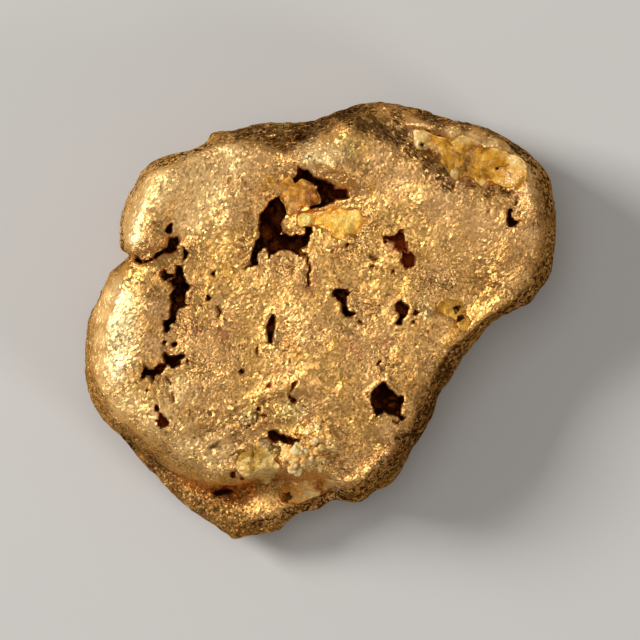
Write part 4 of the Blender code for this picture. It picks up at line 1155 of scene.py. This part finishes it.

# %% [markdown]
# ## The quartz
# What is left of the quartz is a crust of broken grains in each hollow, milky yellow to amber. A grain's top is a
# tilted plane, and from its edge it falls away as flat facets. The crust's height at a point is the highest of its
# grains there, so the grains meet in sharp valleys as broken quartz does.

# %% Grains
# Each grain is (x, y, half length, half width, rise over the gold, turn, tilt along, tilt across, tone), where
# tone runs from 0, amber brown, to 1, cream. Most of the lowest grains have the darkest tones, partly as painted
# shade.
GRAINS = {
    "upper_crust": [
        (4.3, 7.87, 0.36, 0.26, -0.05, 145, 0.05, 0.05, 0.95), (4.78, 7.45, 0.2, 0.12, -0.14, 160, 0.05, 0.0, 0.9),
        (4.3, 7.45, 0.36, 0.2, -0.2, 150, 0.1, 0.0, 0.5), (5.5, 6.95, 0.6, 0.32, -0.18, 100, 0.0, 0.1, 0.5),
        (4.9, 7.05, 0.3, 0.22, -0.3, 140, 0.0, 0.0, 0.05), (5.3, 7.5, 0.4, 0.22, -0.2, 10, 0.0, 0.1, 0.45),
        (5.83, 7.42, 0.34, 0.24, -0.13, 20, 0.1, 0.0, 0.6), (6.2, 7.6, 0.4, 0.26, -0.08, 110, 0.06, 0.0, 0.75),
        (6.05, 7.68, 0.2, 0.16, -0.06, 0, 0.0, 0.0, 0.9), (6.35, 7.08, 0.5, 0.14, -0.34, 10, 0.0, 0.0, 0.0),
        (7.1, 6.75, 0.8, 0.5, -0.16, 130, 0.0, 0.1, 0.45), (6.1, 6.5, 0.5, 0.36, -0.26, 160, 0.0, 0.0, 0.25),
        (7.65, 6.98, 0.42, 0.24, -0.08, 165, 0.05, 0.05, 0.65), (8.25, 6.7, 0.3, 0.22, -0.04, 140, 0.0, 0.0, 0.85),
        (8.1, 6.1, 0.52, 0.44, -0.03, 30, -0.04, -0.04, 0.5), (6.9, 5.98, 0.36, 0.18, -0.1, 170, 0.0, 0.05, 0.8),
        (5.68, 6.15, 0.24, 0.2, -0.16, 70, 0.05, 0.0, 1.0), (7.45, 6.1, 0.45, 0.22, -0.12, 145, 0.0, 0.05, 0.6),
        (6.75, 6.35, 0.5, 0.34, -0.2, 150, 0.0, 0.05, 0.4),
    ],
    "tan_crust": [
        (-1.35, 5.75, 0.6, 0.45, -0.02, 30, 0.06, 0.05, 0.4), (-1.0, 5.25, 0.5, 0.45, -0.06, 140, 0.05, -0.05, 0.5),
        (-0.45, 5.5, 0.38, 0.3, -0.2, 70, -0.1, 0.1, 0.1), (-1.65, 5.45, 0.4, 0.3, -0.02, 160, 0.05, 0.05, 0.5),
        (-1.2, 4.75, 0.38, 0.3, -0.06, 80, 0.05, 0.1, 0.6), (-0.35, 5.15, 0.34, 0.26, -0.16, 20, 0.1, 0.0, 0.15),
        (-0.75, 4.9, 0.3, 0.24, -0.1, 20, 0.1, 0.1, 0.3), (-0.75, 5.78, 0.14, 0.12, -0.02, 20, 0.0, 0.0, 1.0),
    ],
    "amber_crust": [
        (0.45, 4.3, 0.5, 0.36, 0.0, 15, 0.06, -0.06, 0.6), (1.0, 4.3, 0.5, 0.42, 0.0, 165, -0.06, 0.06, 0.7),
        (1.5, 4.25, 0.4, 0.34, -0.02, 40, 0.06, 0.06, 0.55), (0.05, 4.35, 0.4, 0.24, -0.12, 20, 0.1, 0.1, 0.3),
        (-0.65, 4.28, 0.36, 0.2, 0.0, 170, 0.05, 0.05, 1.0), (-0.5, 4.6, 0.4, 0.14, -0.14, 10, 0.0, 0.1, 0.05),
        (0.9, 3.85, 0.6, 0.2, -0.06, 5, 0.0, 0.1, 0.2),
    ],
    "right_crust": [
        (5.2, 0.6, 0.4, 0.3, -0.02, 30, 0.06, 0.06, 0.5), (5.75, 0.45, 0.34, 0.3, -0.06, 120, 0.06, 0.0, 0.5),
        (6.1, -0.2, 0.32, 0.24, 0.0, 60, -0.06, 0.06, 0.6), (5.5, 0.1, 0.3, 0.24, -0.04, 0, 0.06, 0.06, 0.7),
        (6.1, 0.4, 0.26, 0.22, -0.08, 0, 0.06, 0.1, 0.3),
    ],
    "lower_crust": [
        (-3.05, -5.85, 0.45, 0.36, 0.04, 40, 0.06, 0.06, 0.45), (-2.55, -5.5, 0.5, 0.4, 0.08, 30, 0.06, -0.06, 0.2),
        (-2.8, -6.3, 0.45, 0.36, 0.14, 150, 0.05, 0.06, 0.8), (-2.35, -6.05, 0.4, 0.36, 0.18, 60, 0.06, 0.06, 0.85),
        (-3.2, -6.3, 0.34, 0.3, 0.03, 20, 0.06, 0.0, 0.7), (-2.0, -5.6, 0.36, 0.3, 0.06, 70, 0.0, 0.06, 0.7),
        (-2.45, -6.7, 0.34, 0.3, 0.06, 0, 0.0, 0.1, 0.8), (-2.0, -6.3, 0.3, 0.26, 0.1, 0, 0.1, 0.0, 0.8),
    ],
    "foot_crust": [
        (-1.2, -7.2, 0.5, 0.34, -0.1, 10, 0.06, 0.06, 0.5), (-0.6, -7.1, 0.4, 0.3, -0.04, 10, 0.06, 0.06, 0.8),
        (-0.35, -7.35, 0.3, 0.2, 0.0, 10, 0.0, 0.06, 1.0), (0.0, -6.95, 0.4, 0.24, -0.12, 170, 0.1, 0.1, 0.02),
        (0.38, -7.0, 0.24, 0.24, 0.0, 60, 0.1, 0.1, 0.95), (-0.9, -7.5, 0.5, 0.22, -0.04, 5, 0.0, 0.1, 0.6),
    ],
}
# Darker or paler places in the crusts as (x, y, reach, tone). The darker ones sit deep: amber-brown quartz with
# painted shade.
TINTS = [
    (4.9, 7.0, 0.25, 0.0), (6.3, 7.1, 0.25, 0.0), (6.2, 6.45, 0.25, 0.15), (7.0, 7.25, 0.2, 0.2),
    (7.3, 6.7, 0.4, 0.45), (4.3, 7.87, 0.25, 1.0), (6.22, 7.7, 0.18, 0.9), (6.1, 7.7, 0.14, 0.9),
    (5.6, 6.1, 0.14, 1.1), (8.26, 6.74, 0.15, 1.0), (6.9, 5.9, 0.1, 1.1), (7.7, 6.98, 0.14, 0.95),
    (7.2, 6.75, 0.1, 0.9), (8.1, 6.1, 0.3, 0.5), (5.5, 7.2, 0.2, 0.7), (-1.6, 5.85, 0.3, 0.3), (-0.5, 5.3, 0.3, 0.05),
    (-1.0, 4.55, 0.2, 0.2), (0.3, 3.85, 0.25, 0.15), (1.1, 3.75, 0.3, 0.25), (0.8, 4.7, 0.25, 0.3),
    (1.0, 4.3, 0.35, 0.8), (5.2, 0.55, 0.3, 0.4), (6.15, -0.25, 0.15, 0.7), (6.2, 0.3, 0.2, 0.1),
    (-2.6, -5.55, 0.25, 0.15), (-2.4, -6.15, 0.12, 1.1), (-2.9, -6.2, 0.2, 0.6), (-0.4, -7.35, 0.2, 1.0),
    (0.0, -6.92, 0.25, 0.0), (-1.3, -7.1, 0.3, 0.2),
]
# Holes in the crusts, as outlines or as (x, y, half width), and dark cracks as lines.
CRUST_HOLES = [
    [(5.66, 0.62), (5.73, 0.67), (5.92, 0.62), (5.97, 0.56), (5.92, 0.49), (5.78, 0.34), (5.68, 0.36), (5.62, 0.5)],
    [
        (5.84, 0.21), (5.92, 0.27), (6.04, 0.27), (6.12, 0.17), (6.06, 0.09), (5.94, 0.0), (5.84, -0.11),
        (5.87, 0.03), (5.82, 0.14),
    ],
    [(-1.66, -7.33), (-1.56, -7.29), (-1.3, -7.31), (-1.22, -7.36), (-1.24, -7.57), (-1.46, -7.72), (-1.66, -7.52)],
    [(4.28, 7.46, 0.06)],
    [(7.53, 6.42, 0.05)],
]
CRUST_CRACKS = [
    [(5.42, 7.6), (5.6, 7.42), (5.6, 7.23), (5.85, 7.15), (5.96, 6.98), (5.92, 6.8)],
    [(7.52, 6.42), (7.6, 6.52), (8.0, 6.62)],
    [(-1.05, 4.62), (-0.3, 4.74)],
]
GRAIN_SIDES = 5
FACET_FALL = 0.26  # how far a grain falls over its own half width
FILLED = -0.6  # how low the crust lies between its grains, in shares of its pocket's depth
RUGGED = {"upper_crust": 0.03, "tan_crust": 0.08, "amber_crust": 0.08, "right_crust": 0.05, "lower_crust": 0.14,
          "foot_crust": 0.05}
SPREAD = 1.3  # how much wider than its own size a grain is at its foot
CRUST_CELLS = 84
TUCK = 0.1  # how far a crust runs on into the gold round it
RIM_DROP = 0.12  # and how far under the face its rim lies
HOLE_DEPTH = 0.3
FLAT_TOP = 0.7  # share of a grain's size that its flat top takes


def grain_tops(x, y, grains, seed):
    """Height over the gold of the highest grain at each point, and its tone. A grain is a tilted plane out to
    FLAT_TOP of its size, measured as the greatest of its slanting widths, and falls in facets beyond."""
    chance = np.random.default_rng(seed)
    best = np.full_like(x, -9.0)
    tone = np.zeros_like(x)
    for grain_x, grain_y, half_length, half_width, rise, turn, tilt_along, tilt_across, grain_tone in grains:
        cos, sin = math.cos(math.radians(turn)), math.sin(math.radians(turn))
        along = ((x - grain_x) * cos + (y - grain_y) * sin) / half_length
        across = ((y - grain_y) * cos - (x - grain_x) * sin) / half_width
        widest = np.zeros_like(x)
        for side in range(GRAIN_SIDES):
            way = 2 * math.pi * (side + chance.uniform(-0.35, 0.35)) / GRAIN_SIDES
            reach = SPREAD * chance.uniform(0.7, 1.05)
            widest = np.maximum(widest, (along * math.cos(way) + across * math.sin(way)) / reach)
        height = rise + tilt_along * along + tilt_across * across - FACET_FALL * np.maximum(widest - FLAT_TOP, 0)
        tone = np.where(height > best, grain_tone, tone)
        best = np.maximum(best, height)
    return best, tone


def tinted(x, y, tone):
    """The grains' tone, drawn towards each tint by a bell curve of the distance to it."""
    weight = np.full_like(x, 0.5)
    total = 0.5 * tone
    for tint_x, tint_y, reach, tint in TINTS:
        near = bell(np.hypot(x - tint_x, y - tint_y) / reach)
        weight = weight + near
        total = total + near * tint
    return total / weight


def crust_mesh(name, depth, centre, outline, grains, seed):
    """A closed crust: grains above, a shallow bowl below, and the rim tucked into the gold."""
    share, angle = disc_grid(CRUST_CELLS)
    low_share, low_angle = disc_grid(CRUST_CELLS // 2)
    low_reach = low_share * (ring_radius(low_angle, outline, centre) + TUCK) * (1 - 1 / CRUST_CELLS)
    x, y = around(centre, share * (ring_radius(angle, outline, centre) + TUCK), angle)
    low_x, low_y = around(centre, low_reach, low_angle)
    flat = level(x, y)
    broken_x, broken_y = np.stack([x, y]) + TEAR * nudges(flat, 0.3, seed + 2)
    tops, tone = grain_tops(broken_x, broken_y, grains, seed)
    tops = np.maximum(tops, FILLED * depth) + 0.03 * lattice_noise(flat, 0.2, seed + 1)
    tops += RUGGED[name] * (np.abs(lattice_noise(flat, 0.33, seed + 5)) - 0.3)
    # Painted shade: the tone darkens where the grains lie low in the crust.
    tone = tinted(x, y, tone) + 0.8 * np.clip(tops + 0.12, -0.5, 0)
    hole_gap = nearest_pit(x, y, [(HOLE_DEPTH, 0.0, hole) for hole in CRUST_HOLES])[0]
    hole = smooth_step(-hole_gap / 0.06 + 0.4)
    rim = smooth_step((1 - share) / 0.1)
    top_z = face_height(x, y) + tops * rim - RIM_DROP * (1 - rim) - HOLE_DEPTH * hole
    low_z = face_height(low_x, low_y) - RIM_DROP - 1.1 * depth * (1 - low_share**2)
    mesh, points = closed_skin(name, np.stack([x, y, top_z], axis=-1), np.stack([low_x, low_y, low_z], axis=-1))
    points[:, :2] += shift
    move_points(mesh, points, 35)
    none = np.zeros(low_x.size)
    seam = 0.8 * smooth_step(1.2 - crust_cracks(x, y) / 0.05)
    store(mesh, "tone", np.concatenate([tone.ravel(), none]))
    store(mesh, "hole", np.concatenate([np.maximum(hole, seam).ravel(), none]))
    return mesh


def crust_cracks(x, y):
    """Distance to the nearest dark crack of the crusts, after noise has moved the points."""
    torn_x, torn_y = np.stack([x, y]) + CRACK_TEAR * nudges(level(x, y), 0.2, 81)
    return np.min([distance_to_line(torn_x, torn_y, line) for line in CRUST_CRACKS], axis=0)


print("grains:", sum(len(grains) for grains in GRAINS.values()))

# %% [markdown]
# ### Stained quartz
# Quartz is clear, but this is full of cracks and iron, so light goes in a little way and comes back yellow. Part
# transmission and part plain colour, under a glassy surface, does that without the noise of a true volume.

# %% Stained quartz
def stained_quartz(name, dark, middle, light, crumbed, clear):
    """Milky quartz whose colour runs from dark through middle to light with the grain's tone and a cloudiness.
    It is broken into small crumbs by the share crumbed, and lets light through by the share clear."""
    made, shader, wire = new_finish(name)
    cloud = wire.noise(0.4, detail=4.0)
    flecks = wire.noise(0.12, detail=2.0)
    tone = wire.attribute("tone") + 1.1 * (cloud - 0.5) + 0.5 * (flecks - 0.5)
    colour = wire.add("ValToRGB", {"stops": [(0.05, dark), (0.5, middle), (0.98, light)]}, {"Fac": tone},
                      output="Color")
    valleys = wire.crumbs(0.17)
    # Holes and cracks are dark; the valleys between crumbs are darkened as painted shade.
    holes_and_crevice_shade = wire.attribute("hole").highest(crumbed * 0.6 * valleys.between(0.45, 0.7))
    colour = wire.mixed(holes_and_crevice_shade * 0.95, colour, (0.05, 0.016, 0.003))
    plug(shader, "Base Color", colour)
    shader.inputs["Transmission Weight"].default_value = clear
    shader.inputs["IOR"].default_value = 1.54
    shader.inputs["Specular IOR Level"].default_value = 0.45
    plug(shader, "Roughness", 0.05 + 0.25 * cloud)
    facets = wire.facets(0.25, 0.08 + 0.3 * crumbed)
    plug(shader, "Normal", wire.bumped(flecks - 1.5 * crumbed * valleys, 0.05, facets))
    return made


QUARTZ = {  # dark, middle and light colour, crumbed, clear
    "yellow": ((0.12, 0.035, 0.002), (0.8, 0.37, 0.025), (1.0, 0.67, 0.22), 0.1, 0.15),
    "tan": ((0.4, 0.12, 0.01), (0.85, 0.38, 0.05), (1.0, 0.62, 0.2), 0.4, 0.0),
    "amber": ((0.75, 0.22, 0.008), (1.0, 0.52, 0.05), (1.0, 0.72, 0.18), 0.3, 0.0),
    "golden": ((0.3, 0.1, 0.004), (0.75, 0.34, 0.015), (1.0, 0.6, 0.12), 0.3, 0.1),
    "cream": ((0.8, 0.34, 0.05), (1.0, 0.63, 0.18), (1.0, 0.81, 0.42), 0.08, 0.0),
    "olive": ((0.14, 0.075, 0.012), (0.62, 0.33, 0.04), (1.0, 0.66, 0.2), 0.4, 0.1),
}
finishes = {name: stained_quartz(name + "_quartz", *look) for name, look in QUARTZ.items()}
STANDS_FOR = {
    "upper_crust": ("quartz_upper", "yellow"),
    "tan_crust": ("quartz_centre", "tan"),
    "amber_crust": ("quartz_centre", "amber"),
    "right_crust": ("quartz_right", "golden"),
    "lower_crust": ("quartz_lower", "olive"),
    "foot_crust": ("quartz_foot", "tan"),
}
for number, (name, (depth, centre, outline)) in enumerate(CRUSTS.items()):
    node, finish = STANDS_FOR[name]
    mesh = crust_mesh(name, depth, centre, outline, GRAINS[name], 70 + 2 * number)
    put_in_place(name, mesh, finishes[finish], node)

# %% [markdown]
# ### Quartz crumbs
# Under the slot beside the lower crystals, small crumbs of pale quartz stick to the gold like frost. A pattern in
# the finish would stay dark on this slope. As small lumps they catch the light on their upper sides, and it needs
# only one ball, repeated: pushed in and out by noise, and sunk into the gold.

# %% Quartz crumbs
# Each heap is (x, y, reach, number of crumbs, their half size).
HEAPS = [
    (-1.95, -5.5, 0.1, 7, 0.08), (-1.5, -5.55, 0.16, 10, 0.1), (-0.75, -5.45, 0.18, 12, 0.11),
    (-1.5, -5.85, 0.14, 7, 0.1), (-0.95, -5.9, 0.2, 16, 0.16), (-1.1, -6.2, 0.14, 8, 0.13),
    (-0.5, -5.75, 0.18, 9, 0.11), (-0.2, -5.15, 0.16, 9, 0.13), (-0.33, -4.62, 0.13, 8, 0.1),
    (0.0, -5.85, 0.12, 6, 0.12), (-0.05, -6.2, 0.12, 5, 0.09), (0.45, -5.25, 0.16, 6, 0.08),
]
CRUMB_RINGS = 9
CRUMB_SIDES = 14
CRUMB_STAND = 0.3  # height of a crumb's middle over the gold, in its half sizes
CRUMB_DENTS = 0.6


def unit_ball(rings, sides):
    """Points and faces of a ball: rings of points between two poles, at even steps down and round."""
    down, turn = np.meshgrid(np.linspace(0, math.pi, rings + 2)[1:-1],
                             np.linspace(0, 2 * math.pi, sides, endpoint=False), indexing="ij")
    rows = np.stack([np.sin(down) * np.cos(turn), np.sin(down) * np.sin(turn), np.cos(down)], axis=-1)
    ball = np.vstack([[(0, 0, 1)], rows.reshape(-1, 3), [(0, 0, -1)]])
    number = 1 + np.arange(rings * sides).reshape(rings, sides)
    after = np.roll(number, -1, axis=1)
    squares = np.stack([number[:-1], number[1:], after[1:], after[:-1]], axis=-1).reshape(-1, 4)
    top = np.column_stack([np.zeros(sides, int), number[0], after[0]])
    foot = np.column_stack([np.full(sides, len(ball) - 1), after[-1], number[-1]])
    return ball, squares.tolist() + top.tolist() + foot.tolist()


def crumb_mesh(name, heaps):
    """Many lumps in one mesh. A lump's point lies at its middle plus, in the direction of its two angles, the
    lump's half size times one plus noise. The middle lies just over the nearest point of the gold."""
    chance = np.random.default_rng(91)
    x, y, half = np.concatenate([
        np.column_stack([chance.normal(x, reach, number), chance.normal(y, reach, number),
                         half * chance.uniform(0.6, 1.25, number)])
        for x, y, reach, number, half in heaps
    ]).T
    tops = skin[:face_count]
    nearest = [np.argmin(np.hypot(tops[:, 0] - at_x, tops[:, 1] - at_y)) for at_x, at_y in zip(x, y)]
    middle = np.column_stack([x, y, tops[nearest, 2] + CRUMB_STAND * half])
    ball, ball_faces = unit_ball(CRUMB_RINGS, CRUMB_SIDES)
    points = middle[:, None] + half[:, None, None] * ball
    points += half[:, None, None] * ball * CRUMB_DENTS * lattice_noise(points, 0.13, 92)[..., None]
    starts = range(0, len(x) * len(ball), len(ball))
    faces = [[corner + start for corner in face] for start in starts for face in ball_faces]
    mesh = bpy.data.meshes.new(name)
    mesh.from_pydata((points.reshape(-1, 3) * MM).tolist(), [], faces)
    mesh.shade_smooth()
    store(mesh, "tone", np.repeat(chance.uniform(0.2, 1.0, len(x)), len(ball)))
    store(mesh, "hole", np.zeros(points.size // 3))
    return mesh


crumbs = crumb_mesh("quartz_crumbs", HEAPS)
put_in_place("quartz_crumbs", crumbs, finishes["cream"], "quartz_lower")
